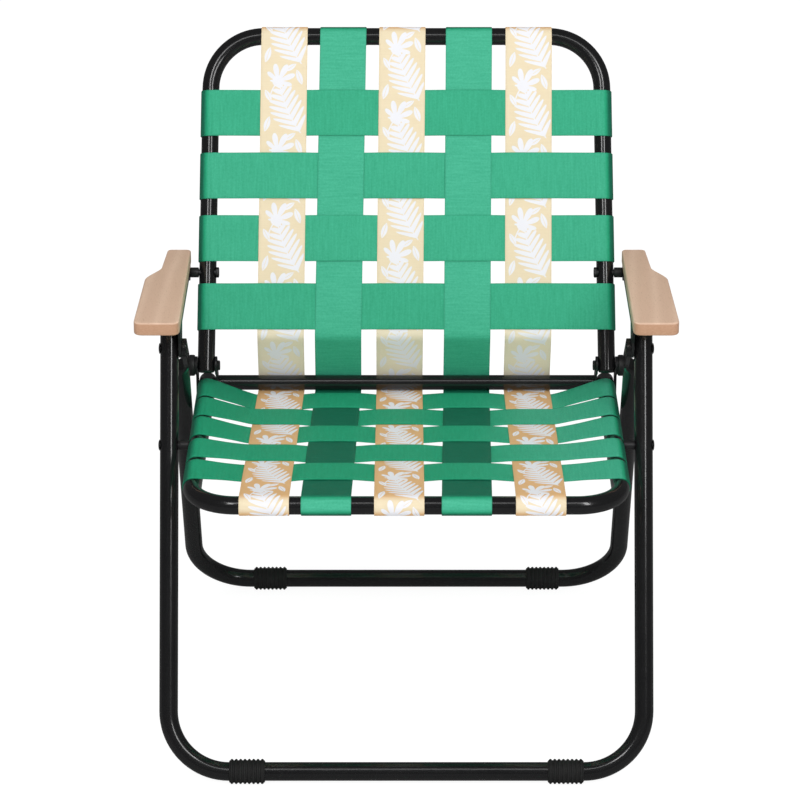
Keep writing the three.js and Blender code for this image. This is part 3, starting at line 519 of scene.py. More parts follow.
def frond(across, along, centre, length, half_width, turn, pitch=8.4):
    """A fern frond: slanted leaflets on both sides of an arched rib."""
    forward, sideways = from_leaf(across, along, centre, turn)
    sideways = sideways + forward * forward * 0.0035
    out = sideways.size()
    share = forward / (length / 2)
    room = (1 - share * share).most(0.0) ** 0.6 * half_width
    spread = out / (room + 0.05)
    slant = (forward - out * 0.75) / pitch
    beat = (slant.math("FLOORED_MODULO", 1.0) - 0.5).size()
    width = (1 - spread * spread).most(0.0) ** 0.5 * 0.42
    leaflets = (beat - width).below(0.0, 0.12) * spread.below(0.98, 0.05)
    rib = out.below(0.8, 0.5) * share.size().below(1.05, 0.05)
    return leaflets.most(rib)


def leaf_print(across, along):
    """1 where the beige band is printed."""
    mask = frond(across, along, (-4.0, 27.0), 66.0, 21.0, 0.4)
    mask = mask.most(fan_leaf(across, along, (7.0, 61.0), 24.0, -0.5, 4.5))
    for leaf in SMALL_LEAVES:
        mask = mask.most(lens_leaf(across, along, *leaf))
    return mask * (across.size() - (STRAP_WIDTH / 2 - PRINT_MARGIN)).below(0.0, 0.6)


def printed_webbing(name):
    """Beige band with a white print and painted light: painted shade, yellower, where it lies level on the
    seat, lighter up the back and brightest just above the crossbar.
    """
    material, shader = new_material(name)
    across, along = shader.strap_place()
    height, rib, warp, edge = woven_surface(across, along)
    cloud = shader.noise(shader.place(), 16.0)
    slub = woven_streaks(shader, across, along)
    painted_light = shader.painted_light()
    share = rib * 0.3 + cloud * 0.4 + warp * 0.2 + slub * 0.5 - 0.25
    body = shader.mix(share, shader.mix(painted_light, *BEIGE_DARK), shader.mix(painted_light, *BEIGE_LIGHT))
    body = shader.mix(painted_light - 1, body, BEIGE_PAINTED_BRIGHT)
    inked = shader.mix(leaf_print(across, along), body, PRINT_WHITE)
    tint = shader.mix(edge * 0.2, inked, BEIGE_EDGE)
    shader.surface(tint, cloud * 0.1 + 0.5, height, 0.35, distance=0.0004, Specular_IOR_Level=0.2)
    return material


# Mesh helpers

def tilted(origin, lean):
    """A frame at a point of the side view, whose Z leans back by an angle."""
    return Matrix.Translation(origin) @ Matrix.Rotation(-radians(lean), 4, "X")


def beyond(origin, reach, lean):
    """A point of the side view, from another in a direction that leans back."""
    turn = radians(lean)
    return origin + Vector((0, reach * sin(turn), reach * cos(turn)))


REAR_TURN = radians(REAR_LEAN)
FRONT_RAIL = Vector((0, FRONT_PLACE, RAIL_HEIGHT))
UPPER_PIVOT = beyond(FRONT_RAIL, FRONT_REACH, FRONT_LEAN)
SEAT_PIVOT = beyond(UPPER_PIVOT, -LINK, FRONT_LEAN)
HINGE = beyond(beyond(SEAT_PIVOT, HINGE_BACK, SEAT_SLOPE + 90), HINGE_UP, SEAT_SLOPE)
REAR_REACH = (UPPER_PIVOT.z - RAIL_HEIGHT + REAR_OFFSET * sin(REAR_TURN)) / cos(REAR_TURN)
FRAMES = {
    "front_legs": tilted(UPPER_PIVOT, FRONT_LEAN),
    "rear_legs": tilted(UPPER_PIVOT, -REAR_LEAN),
    "seat": tilted(SEAT_PIVOT, SEAT_SLOPE),
    "back": tilted(HINGE, BACK_LEAN),
    "arms": tilted(UPPER_PIVOT, ARM_SLOPE),
}
REAR_RAIL = FRAMES["rear_legs"] @ Vector((0, REAR_OFFSET, -REAR_REACH))


def eased(share):
    """From 0 to 1 with a soft start and end."""
    share = min(max(share, 0.0), 1.0)
    return share * share * (3 - 2 * share)


def angles(steps):
    return [2 * pi * step / steps for step in range(steps)]


def smoothed(mesh, sharp):
    for face in mesh.polygons:
        face.use_smooth = True
        face.material_index = 0
    mesh.set_sharp_from_angle(angle=radians(sharp))


def settle(piece, finish, body, replaced, sharp=40, place=None):
    """Scales a piece to metres, puts it in its place and gives it its finish and its body."""
    piece.data.transform(Matrix.Scale(MM, 4) @ (place or FRAMES[body]))
    piece.data.materials.clear()
    piece.data.materials.append(finish)
    smoothed(piece.data, sharp)
    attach(piece, body)
    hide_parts(replaced)


def new_piece(name, points, faces=(), edges=()):
    mesh = bpy.data.meshes.new(name)
    mesh.from_pydata([tuple(p) for p in points], list(edges), [tuple(f) for f in faces])
    return placed_object(name, mesh)


def skin(rings):
    """Points and faces over rings of equally many points, with both ends closed."""
    count = len(rings[0])
    points = [p for ring in rings for p in ring]
    faces = []
    for ring in range(len(rings) - 1):
        low = ring * count
        for i in range(count):
            j = (i + 1) % count
            faces.append((low + i, low + j, low + count + j, low + count + i))
    faces.append(tuple(range(count - 1, -1, -1)))
    faces.append(tuple(range((len(rings) - 1) * count, len(rings) * count)))
    return points, faces


def joined(parts):
    """One list of points and faces from several."""
    points, faces = [], []
    for more_points, more_faces in parts:
        base = len(points)
        points += more_points
        faces += [tuple(base + i for i in face) for face in more_faces]
    return points, faces


def turned(outline, side=1, centre=(0, 0, 0), axis="X", steps=40):
    """A turned solid: the outline pairs a radius with a distance along the axis."""
    rings = []
    for radius, reach in outline:
        radius = max(radius, 0.02)
        ring = []
        for angle in angles(steps):
            a, b = radius * cos(angle), radius * sin(angle)
            ring.append(Vector((side * reach, a * side, b)) if axis == "X" else Vector((a, b, reach)))
        rings.append([p + Vector(centre) for p in ring])
    return skin(rings)


def ring_shape(outline, side=1, centre=(0, 0, 0), steps=40):
    """A turned ring, whose first and last rings are joined."""
    points, faces = turned(outline, side, centre, "X", steps)
    last = (len(outline) - 1) * steps
    return points, faces[:-2] + [(last + i, last + (i + 1) % steps, (i + 1) % steps, i) for i in range(steps)]


def face_outwards(piece):
    mesh = bmesh.new()
    mesh.from_mesh(piece.data)
    bmesh.ops.remove_doubles(mesh, verts=mesh.verts, dist=0.0005)
    bmesh.ops.recalc_face_normals(mesh, faces=mesh.faces)
    mesh.to_mesh(piece.data)
    mesh.free()
    return piece


def made_plain(piece):
    """The evaluated result of a piece's modifiers as its own plain mesh."""
    bpy.context.view_layer.update()
    graph = bpy.context.evaluated_depsgraph_get()
    mesh = bpy.data.meshes.new_from_object(piece.evaluated_get(graph))
    piece.modifiers.clear()
    piece.data = mesh


# Node trees that make geometry

class Tree(Nodes):
    """Builds a Geometry Nodes tree with named inputs."""

    def __init__(self, name, **inputs):
        super().__init__(bpy.data.node_groups.new(name, "GeometryNodeTree"))
        self.keys = {}
        self.socket("Geometry", "INPUT", "Geometry")
        for label, kind in inputs.items():
            self.keys[label] = self.socket(label.replace("_", " "), "INPUT", kind).identifier
        self.socket("Geometry", "OUTPUT", "Geometry")
        self.entry = self.add("NodeGroupInput")

    def socket(self, label, way, kind):
        return self.tree.interface.new_socket(label, in_out=way, socket_type=f"NodeSocket{kind}")

    def circle(self, steps, radius):
        return self.add("GeometryNodeCurvePrimitiveCircle", Resolution=steps, Radius=radius).out(0)

    def close(self, geometry):
        real = self.add("GeometryNodeRealizeInstances", Geometry=geometry).out(0)
        painted = self.add("GeometryNodeSetMaterial", Geometry=real, Material=self.entry.out("Finish"))
        self.add("NodeGroupOutput").feed(0, painted.out(0))

    def run(self, piece, **values):
        modifier = piece.modifiers.new("make", "NODES")
        modifier.node_group = self.tree
        for label, value in values.items():
            modifier[self.keys[label]] = value
        made_plain(piece)


def tube_tree():
    """A polyline of edges becomes a round tube with bends of one radius."""
    tree = Tree("bent_tube", Radius="Float", Bend="Float", Bend_Steps="Int", Sides="Int", Finish="Material")
    given = tree.entry.out
    curve = tree.add("GeometryNodeMeshToCurve", Mesh=given("Geometry")).out(0)
    bent = tree.add(
        "GeometryNodeFilletCurve", settings={"mode": "POLY"},
        Curve=curve, Radius=given("Bend"), Count=given("Bend Steps"),
    ).out(0)
    ring = tree.circle(given("Sides"), given("Radius"))
    tube = tree.add("GeometryNodeCurveToMesh", Curve=bent, Profile_Curve=ring, Fill_Caps=True).out(0)
    tree.close(tube)
    return tree


def rib_tree():
    """Round ribs, spaced evenly along a line, around a floor rail."""
    tree = Tree(
        "grip_ribs", Ribs="Int", Pitch="Float", Start="Float", Rail_Radius="Float", Rib_Radius="Float",
        Finish="Material",
    )
    given = tree.entry.out
    step = tree.add("ShaderNodeCombineXYZ", X=given("Pitch")).out(0)
    start = tree.add("ShaderNodeCombineXYZ", X=given("Start")).out(0)
    line = tree.add("GeometryNodeMeshLine", Count=given("Ribs"), Start_Location=start, Offset=step).out(0)
    loop = tree.circle(48, given("Rail Radius"))
    section = tree.circle(14, given("Rib Radius"))
    rib = tree.add("GeometryNodeCurveToMesh", Curve=loop, Profile_Curve=section).out(0)
    turn = (0, pi / 2, 0)
    placed = tree.add("GeometryNodeInstanceOnPoints", Points=line, Instance=rib, Rotation=turn).out(0)
    both = tree.add("GeometryNodeJoinGeometry")
    for shape in (placed, given("Geometry")):
        both.feed(0, shape)
    tree.close(both.out(0))
    return tree


# Frames

PRESS_LOW = -61.0
PRESS_HIGH = -46.0
PRESS_HALF = 2.45
PRESS_STEPS = 14
PRESS_SQUARENESS = 0.45
PRESS_OVERLAP = 2.0
TONGUE_RADIUS = 12
ROUND_END = -58.0
TUBE_SIDES = 40


def u_corners(end_half, end, turn_half, turn):
    """Corners of a U, from its left end to its right one."""
    return [(-end_half, *end), (-turn_half, *turn), (turn_half, *turn), (end_half, *end)]


def tube(name, corners, bend, radius, body, replaced, more=None):
    piece = new_piece(name, corners, edges=[(i, i + 1) for i in range(len(corners) - 1)])
    tubes.run(piece, Radius=radius, Bend=bend, Bend_Steps=20, Sides=TUBE_SIDES, Finish=gloss_black)
    if more:
        mesh = bmesh.new()
        mesh.from_mesh(piece.data)
        extra = bpy.data.meshes.new("extra")
        extra.from_pydata([tuple(p) for p in more[0]], [], more[1])
        mesh.from_mesh(extra)
        mesh.to_mesh(piece.data)
        mesh.free()
        bpy.data.meshes.remove(extra)
    settle(face_outwards(piece), gloss_black, body, replaced)


def squarer(value, power):
    return copysign(abs(value) ** power, value)


def pressed_ends():
    """The rear legs' upper ends: round tube pressed into flat tongues with rounded tips."""
    inner = REAR_HALF - LEG_RADIUS
    parts = []
    for side in (-1, 1):
        rings = []
        for step in range(PRESS_STEPS + 1):
            share = step / PRESS_STEPS
            half = LEG_RADIUS + (PRESS_HALF - LEG_RADIUS) * eased(share)
            power = 1 - PRESS_SQUARENESS * eased(share)
            level = PRESS_LOW + (PRESS_HIGH - PRESS_LOW) * share
            ring = []
            for angle in angles(TUBE_SIDES):
                x = inner + half + half * squarer(cos(angle), power)
                y = REAR_OFFSET + LEG_RADIUS * squarer(sin(angle), power)
                ring.append(Vector((side * x, y, level)))
            rings.append(ring)
        parts.append(skin(rings))
        low = PRESS_HIGH - PRESS_OVERLAP
        tip = [(REAR_OFFSET - LEG_RADIUS, low), (REAR_OFFSET + LEG_RADIUS, low)]
        pull = atan2(REAR_OFFSET, -PRESS_HIGH)
        for step in range(PRESS_STEPS + 1):
            angle = pull + (pi - pull / 2) * step / PRESS_STEPS
            tip.append((TONGUE_RADIUS * cos(angle), TONGUE_RADIUS * sin(angle)))
        faces = (inner + 0.01, inner + 2 * PRESS_HALF)
        parts.append(skin([[Vector((side * x, y, z)) for y, z in tip] for x in faces]))
    return joined(parts)


def make_frames():
    front = u_corners(FRONT_HALF, (0, FRONT_TOP), FRONT_HALF, (0, -FRONT_REACH))
    tube("front_leg_tube", front, LEG_BEND, LEG_RADIUS, "front_legs", "front_leg_frame")
    rear = u_corners(REAR_HALF, (REAR_OFFSET, ROUND_END), REAR_HALF, (REAR_OFFSET, -REAR_REACH))
    tube("rear_leg_tube", rear, LEG_BEND, LEG_RADIUS, "rear_legs", "rear_leg_frame", pressed_ends())
    seat = u_corners(FRAME_HALF, (SEAT_REAR, 0), FRAME_HALF, (-SEAT_FRONT, 0))
    tube("seat_tube", seat, SEAT_BEND, FRAME_RADIUS, "seat", "seat_frame")
    bar_half = FRAME_INNER - BRACKET_SHEET - GAP
    bar = [(-bar_half, CROSSBAR_PLACE, 0), (bar_half, CROSSBAR_PLACE, 0)]
    tube("crossbar_tube", bar, 0.0, CROSSBAR_RADIUS, "seat", "seat_crossbar")
    top_half = FRAME_HALF - BACK_TAPER
    back = u_corners(FRAME_HALF, (BACK_AXIS, -BACK_END), top_half, (BACK_AXIS, BACK_HEIGHT))
    tube("back_tube", back, BACK_BEND, FRAME_RADIUS, "back", "back_frame")


# Pins, plugs, spacers and feet

DOME_TURNS = (0.02, 0.35, 0.7, 1.0, 1.3, 1.5)


def dome(inner, inner_height, outer):
    """A rivet's outline: two rounded heads on a plain shank."""
    low = [(HEAD_RADIUS * sin(a), inner - inner_height * cos(a)) for a in DOME_TURNS]
    shank = [(HEAD_RADIUS, inner), (SHANK_RADIUS, inner), (SHANK_RADIUS, outer), (HEAD_RADIUS, outer)]
    high = [(HEAD_RADIUS * sin(a), outer + HEAD_HEIGHT * cos(a)) for a in DOME_TURNS[::-1]]
    return low + shank + high


def rounded_ring(inner, outer, bore, radius, edge):
    """A closed outline of a spacer or washer with rounded outer edges."""
    cut = edge * 0.3
    return [
        (bore, inner), (radius - edge, inner), (radius - cut, inner + cut), (radius, inner + edge),
        (radius, outer - edge), (radius - cut, outer - cut), (radius - edge, outer), (bore, outer),
    ]


def hexagon_nut(outer, side, centre):
    """A hexagonal nut with its corners turned down, on the inner side of a tube."""
    rings = []
    for share, reach in ((0.86, -NUT_HEIGHT), (1.0, 0.6 - NUT_HEIGHT), (1.0, -0.01)):
        ring = []
        for angle in angles(36):
            flat = NUT_ACROSS / 2 / cos((angle + pi / 6) % (pi / 3) - pi / 6)
            radius = min(flat, NUT_ACROSS / 2 * 1.12) * share
            point = (side * (outer + reach), side * radius * cos(angle), radius * sin(angle))
            ring.append(Vector(point) + Vector(centre))
        rings.append(ring)
    return skin(rings)


def bolt(nut_place, outer, side, centre):
    """A bolt with a domed head and, inside, a nut with a thin washer."""
    head = turned(dome(nut_place, NUT_WASHER, outer), side, centre)
    return joined([head, hexagon_nut(nut_place, side, centre)])


def worn(name, shape, body, sharp=40):
    """A steel fastener in the place of the node of that name."""
    settle(face_outwards(new_piece(f"{name}_worn", *shape)), dark_steel, body, name, sharp)


def black(name, shape, body):
    """A plastic part in the place of the node of that name."""
    settle(face_outwards(new_piece(f"{name}_black", *shape)), black_plastic, body, name)


def make_rivets(name, side):
    """The rivets on which rear leg, arm and seat turn, and the spacer beside the seat."""
    outer = FRONT_HALF + LEG_RADIUS + GAP
    rivet = turned(dome(REAR_HALF - LEG_RADIUS - GAP, FLAT_HEAD_HEIGHT, outer), side)
    worn(f"leg_rivet_{name}", rivet, "front_legs")
    centre = (0, 0, -LINK)
    rivet = turned(dome(FRAME_INNER - GAP, HEAD_HEIGHT, outer), side, centre)
    worn(f"seat_rivet_{name}", rivet, "front_legs")
    leg_inner = FRONT_HALF - LEG_RADIUS - GAP
    outline = rounded_ring(FRAME_OUTER + GAP, leg_inner, HOLE_RADIUS, SEAT_SPACER_RADIUS, SPACER_EDGE)
    black(f"seat_spacer_{name}", ring_shape(outline, side, centre), "front_legs")


def plug(name, radius, stem, turn, centre, body):
    """A plug whose head is as wide as the tube and whose stem goes into it."""
    bore = radius - PLUG_WALL
    outline = [
        (0.0, 0.0), (radius * 0.55, 0.05), (radius - 1.6, 0.35), (radius - 0.6, 1.0),
        (radius - 0.3, PLUG_HEAD), (bore, PLUG_HEAD), (bore, PLUG_HEAD + stem), (0.0, PLUG_HEAD + stem),
    ]
    points, faces = turned(outline, axis="Z")
    place = Matrix.Translation(centre) @ Matrix.Rotation(turn, 4, "X")
    black(name, ([place @ p for p in points], faces), body)


def make_plugs(name, side):
    """Plugs in the front legs' upper ends, the seat's rear ends and the back's lower ends."""
    proud = PLUG_HEAD + GAP
    centre = (side * FRONT_HALF, 0, FRONT_TOP + proud)
    plug(f"leg_plug_{name}", LEG_RADIUS, LONG_STEM, pi, centre, "front_legs")
    centre = (side * FRAME_HALF, SEAT_REAR + proud, 0)
    plug(f"seat_plug_{name}", FRAME_RADIUS, LONG_STEM, pi / 2, centre, "seat")
    centre = (side * (FRAME_HALF + BACK_TAPER * BACK_END / BACK_HEIGHT), BACK_AXIS, -BACK_END - proud)
    plug(f"back_plug_{name}", FRAME_RADIUS, SHORT_STEM, 0.0, centre, "back")


def make_hinge(name, side):
    """The disc between hinge bracket and front leg, and the bolt through the bracket."""
    centre = (0, HINGE_BACK, HINGE_UP)
    inner = FRAME_OUTER + BRACKET_SHEET + GAP
    outer = inner + DISC_WIDTH
    disc = ring_shape(rounded_ring(inner, outer, HOLE_RADIUS, DISC_RADIUS, DISC_EDGE), side, centre, 56)
    black(f"hinge_disc_{name}", disc, "seat")
    through = bolt(FRAME_INNER - BRACKET_SHEET - GAP, outer + GAP, side, centre)
    worn(f"hinge_bolt_{name}", through, "seat", 30)


def make_arm_bolt(name, side):
    """The bolt on which the arm turns on the back, and the spacer between them."""
    up = LINK * cos(radians(BACK_LEAN - FRONT_LEAN))
    half = FRAME_HALF - BACK_TAPER * up / BACK_HEIGHT
    centre = (0, 2 * BACK_AXIS, up)
    through = bolt(half - FRAME_RADIUS - GAP, ARM_RAIL_OUTER, side, centre)
    worn(f"arm_bolt_{name}", through, "back", 30)
    inner = half + FRAME_RADIUS + GAP
    outline = rounded_ring(inner, ARM_RAIL_INNER, HOLE_RADIUS, ARM_SPACER_RADIUS, SPACER_EDGE)
    black(f"arm_spacer_{name}", ring_shape(outline, side, centre), "back")


def make_feet():
    """Ribbed grips around the rails, flattened where they stand on the floor."""
    for end, reach, body, rail in (
        ("front", FRONT_FOOT, "front_legs", FRONT_RAIL), ("rear", REAR_FOOT, "rear_legs", REAR_RAIL),
    ):
        for name, side in SIDES:
            outline = rounded_ring(-FOOT_HALF, FOOT_HALF, LEG_RADIUS + FOOT_GAP, FOOT_RADIUS, FOOT_EDGE)
            piece = new_piece(f"{end}_foot_{name}_ribbed", *ring_shape(outline, steps=64))
            ribs.run(
                piece, Ribs=GRIP_RIBS, Pitch=GRIP_PITCH, Start=-GRIP_PITCH * (GRIP_RIBS - 1) / 2,
                Rail_Radius=GRIP_RADIUS, Rib_Radius=GRIP_RIB_RADIUS, Finish=rubber,
            )
            for vertex in piece.data.vertices:
                if vertex.co.z < -SOLE_TOP and abs(vertex.co.y) < SOLE_HALF:
                    vertex.co.z = max(vertex.co.z, -RAIL_HEIGHT + 0.02)
            place = Matrix.Translation((side * reach, rail.y, rail.z))
            settle(face_outwards(piece), rubber, body, f"{end}_foot_{name}", place=place)


# Armrests

def armrest_outline():
    """Straight inner edge, wide rounded front, and an S-curve to a narrow rear end."""
    rear = WOOD_FRONT + WOOD_LENGTH

    def rounded(x, y, start, end):
        """A corner, rounded between two offsets from it."""
        corner = Vector((x, y))
        start, end = corner + Vector(start), corner + Vector(end)
        shares = [step / 10 for step in range(11)]
        return [corner * (2 * s * (1 - s)) + start * (1 - s) ** 2 + end * s ** 2 for s in shares]

    round_front, round_rear = 11, 6
    points = rounded(0, WOOD_FRONT, (0, round_front), (round_front, 0))
    points += rounded(WOOD_WIDTH, WOOD_FRONT, (-round_front, 0), (0, round_front))
    for step in range(1, 18):
        share = step / 17
        x = WOOD_WAIST - WOOD_DRAW * eased(share)
        points.append(Vector((x, WOOD_FRONT + WOOD_WIDE_RUN + WOOD_NECK_RUN * share)))
    points += rounded(WOOD_END_WIDTH, rear, (0, -round_rear), (-round_rear, 0))
    points += rounded(0, rear, (round_rear, 0), (0, -round_rear))
    return points


def make_armrests():
    outline = armrest_outline()
    for name, side in SIDES:
        levels = (WOOD_LOW, WOOD_HIGH)
        rings = [[Vector((side * (WOOD_INNER + p.x), p.y, z)) for p in outline] for z in levels]
        piece = face_outwards(new_piece(f"armrest_{name}_board", *skin(rings)))
        edge = piece.modifiers.new("edge", "BEVEL")
        edge.width = WOOD_EDGE
        edge.segments = 5
        edge.limit_method = "ANGLE"
        edge.angle_limit = radians(60)
        made_plain(piece)
        settle(piece, pale_beech, "arms", f"armrest_{name}", 35)


# Webbing

LONG_STRAPS = 5
HEM_STEPS = 6
# Distances of a hem's stations from the middle of its tube
HEM_RUN = tuple(HEM * (1 - step / HEM_STEPS) for step in range(HEM_STEPS))
PLATEAU = 17.0
SOFTENING = 2
FLAT_STEPS = 14
EDGE_STEPS = 3
SEAT_RUN = SEAT_FRONT + CROSSBAR_PLACE
SEAT_SAG = (-CROSSBAR_WRAP - FRAME_WRAP) / SEAT_RUN
BACK_FRONT = BACK_AXIS - FRAME_WRAP
# The crook between seat and back: turn of the straps round the crossbar, and heights on the back
CROOK_TURN = 372
CROOK_LOW = -22
CROOK_TOP = 30.0
LOW_BACK = 90
PRINT_SHIFT = 23.0
# Painted light of the straps: for the long ones just above the crossbar, for each cross strap, and a painted
# brightening towards the right of the seat
BEIGE_LOW_PAINTED_LIGHT = 1.3
GREEN_LOW_PAINTED_LIGHT = 0.95
SEAT_PAINTED_LIGHTS = (0.53, 0.53, 0.53, 0.53, 0.5)
SEAT_PAINTED_LIGHT_GAIN = 0.45
BACK_PAINTED_LIGHTS = (0.76, 0.84, 0.84, 0.78)


def weave_level(place, knots):
    """Height of a strap between the straps it crosses: level on each, eased in between."""
    if place <= knots[0][0]:
        return knots[0][1]
    for (low, low_level), (high, high_level) in zip(knots, knots[1:]):
        if place <= high:
            start, end = low + PLATEAU, high - PLATEAU
            if end <= start:
                start, end = low, high
            return low_level + (high_level - low_level) * eased((place - start) / (end - start))
    return knots[-1][1]


def arc_points(centre, radius, start, end, steps=14):
    """Points on an arc between two angles in degrees."""
    turns = [radians(start + (end - start) * step / steps) for step in range(steps + 1)]
    return [(centre[0] + radius * cos(a), centre[1] + radius * sin(a)) for a in turns]


def places(start, end):
    """Places 4 mm apart from start on, up to end."""
    while start < end:
        yield start
        start += 4


def spaced(points, pitch=3.4):
    """The path resampled evenly and softened a little. Each point may carry further values."""
    lengths = [0.0]
    for a, b in zip(points, points[1:]):
        lengths.append(lengths[-1] + hypot(b[0] - a[0], b[1] - a[1]))
    count = int(lengths[-1] / pitch)
    result, at = [], 0
    for i in range(count + 1):
        reach = lengths[-1] * i / count
        while at < len(points) - 2 and lengths[at + 1] < reach:
            at += 1
        share = (reach - lengths[at]) / (lengths[at + 1] - lengths[at])
        result.append([p + (q - p) * share for p, q in zip(points[at], points[at + 1])])
    for _ in range(SOFTENING):
        threes = zip(result, result[1:], result[2:])
        inner = [[(a + 2 * b + c) / 4 for a, b, c in zip(*three)] for three in threes]
        result = [result[0], *inner, result[-1]]
    return result


def with_runs(path):
    """Each point of a path, with the step in its first two values between its neighbours."""
    for i, point in enumerate(path):
        before, after = path[max(i - 1, 0)], path[min(i + 1, len(path) - 1)]
        yield point, after[0] - before[0], after[1] - before[1]


def station(point, run, across):
    """A point of a band with its width direction and its face normal."""
    return Vector(point), across, Vector(run).normalized().cross(across).normalized()


def section():
    """Rounded cross section of the band as pairs of across and depth."""
    thick = STRAP_THICKNESS / 2
    flat = STRAP_WIDTH / 2 - thick
    points = [(2 * flat * step / FLAT_STEPS - flat, -thick) for step in range(FLAT_STEPS + 1)]
    for step in range(1, EDGE_STEPS):
        angle = pi * step / EDGE_STEPS - pi / 2
        points.append((flat + thick * cos(angle), thick * sin(angle)))
    return points + [(-across, -depth) for across, depth in points]


def band(name, stations, finish, painted_lights, place, start_at=0.0):
    """A woven band over stations, with its own map and the painted light of each station."""
    outline = section()
    count = len(outline)
    lengths = [start_at]
    for (a, _, _), (b, _, _) in zip(stations, stations[1:]):
        lengths.append(lengths[-1] + (b - a).length)
    rings = [[centre + across * u + normal * d for u, d in outline] for centre, across, normal in stations]
    piece = new_piece(name, *skin(rings))
    mesh = piece.data
    layer = mesh.uv_layers.new(name="strap")
    for loop in mesh.loops:
        ring, spot = divmod(loop.vertex_index, count)
        layer.data[loop.index].uv = (outline[spot][0] * MM, lengths[ring] * MM)
    level = mesh.attributes.new("painted_light", "FLOAT", "POINT")
    for spot, value in enumerate(level.data):
        value.value = painted_lights[spot // count]
    mesh.materials.append(finish)
    smoothed(mesh, 50)
    mesh.transform(Matrix.Scale(MM, 4) @ place)
    return piece


def over(long_index, cross_index):
    """1 where the long strap passes over the cross strap, otherwise -1."""
    return 1 if (long_index + cross_index) % 2 == 0 else -1


def long_knots(index, start, crossed, end):
    """Places and levels of a long strap at its ends and at the cross straps."""
    waves = sorted((place, LONG_WAVE * over(index, i)) for i, place in enumerate(crossed))
    return [(start, 0.0), *waves, (end, 0.0)]


def cross_knots(index, place, x_at):
    """Places and levels of a cross strap at the long straps."""
    return [(x_at(i, place), -CROSS_WAVE * over(i, index)) for i in range(LONG_STRAPS)]


def seat_level(place):
    return FRAME_WRAP + SEAT_SAG * (place + SEAT_FRONT)


def long_x(start, end, share):
    return FRAME_HALF * (start + (end - start) * share)


def seat_x(index, place):
    return long_x(FRONT_SHARES[index], CROOK_SHARES[index], (place + SEAT_FRONT) / SEAT_RUN)


def back_x(index, height):
    return long_x(CROOK_SHARES[index], TOP_SHARES[index], height / BACK_HEIGHT)


def long_path(index):
    """Side view of a long strap: hem, front tube, seat, under the crossbar, up the back, top tube, hem."""
    def on_seat(place, level):
        point = FRAMES["seat"] @ Vector((0, place, level))
        return point.y, point.z, seat_x(index, min(place, CROSSBAR_PLACE))

    def on_back(height, level):
        point = FRAMES["back"] @ Vector((0, level, height))
        return point.y, point.z, back_x(index, height)

    path = [on_seat(run - SEAT_FRONT, -FRAME_WRAP) for run in HEM_RUN]
    path += [on_seat(*p) for p in arc_points((-SEAT_FRONT, 0), FRAME_WRAP, 270, 90)]
    knots = long_knots(index, -SEAT_FRONT, SEAT_PLACES, CROSSBAR_PLACE)
    for place in places(4 - SEAT_FRONT, CROSSBAR_PLACE - 3):
        path.append(on_seat(place, seat_level(place) + weave_level(place, knots)))
    path += [on_seat(*p) for p in arc_points((CROSSBAR_PLACE, 0), CROSSBAR_WRAP, 270, CROOK_TURN, 10)]
    knots = long_knots(index, CROOK_TOP, BACK_PLACES, BACK_HEIGHT)
    for height in places(CROOK_TOP + 4, BACK_HEIGHT - 2):
        path.append(on_back(height, BACK_FRONT - weave_level(height, knots)))
    top = arc_points((BACK_HEIGHT, -BACK_AXIS), FRAME_WRAP, 90, -90)
    path += [on_back(height, -level) for height, level in top]
    path += [on_back(BACK_HEIGHT - run, BACK_AXIS + FRAME_WRAP) for run in HEM_RUN[::-1]]
    return path


def long_stations(index):
    across = Vector((-1, 0, 0))
    path = with_runs(spaced(long_path(index)))
    return [station((x, y, z), (0, run_y, run_z), across) for (y, z, x), run_y, run_z in path]


def painted_light_of(centre, normal, low_painted_light):
    """Painted light of a long strap: painted shade (0) on the level seat, full (1) where the band faces
    forwards, and a given low value just above the crossbar, where crossbar and seat shade it.
    """
    facing = eased((-0.87 * normal.y + 0.5 * normal.z - 0.45) / 0.5)
    height = (FRAMES["back"].inverted() @ centre).z
    if height < CROOK_LOW + 2:
        return facing
    low = eased((height - CROOK_LOW) / 8) * (1 - eased((height - CROOK_TOP) / 20))
    return (facing + (1 - facing) * low) * (low_painted_light + (1 - low_painted_light) * eased(height / LOW_BACK))


def make_long_straps():
    for index in range(LONG_STRAPS):
        beige = index % 2 == 0
        low_painted_light = BEIGE_LOW_PAINTED_LIGHT if beige else GREEN_LOW_PAINTED_LIGHT
        finish = beige_band if beige else green_band
        stations = long_stations(index)
        # Painted light and shade of each station
        painted_lights = [painted_light_of(centre, normal, low_painted_light) for centre, _, normal in stations]
        piece = band(f"long_strap_{index + 1}", stations, finish, painted_lights, Matrix(), PRINT_SHIFT * index)
        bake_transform(piece)
        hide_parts(f"seat_long_strap_{index + 1}", f"back_long_strap_{index + 1}")


def hemmed(half, leave, tilt):
    """A cross strap's hem and its way round the side tube."""
    points = [(half - run, -FRAME_WRAP) for run in HEM_RUN]
    points += arc_points((half, 0), FRAME_WRAP, -90, leave)
    return [(x, level, tilt) for x, level in points]


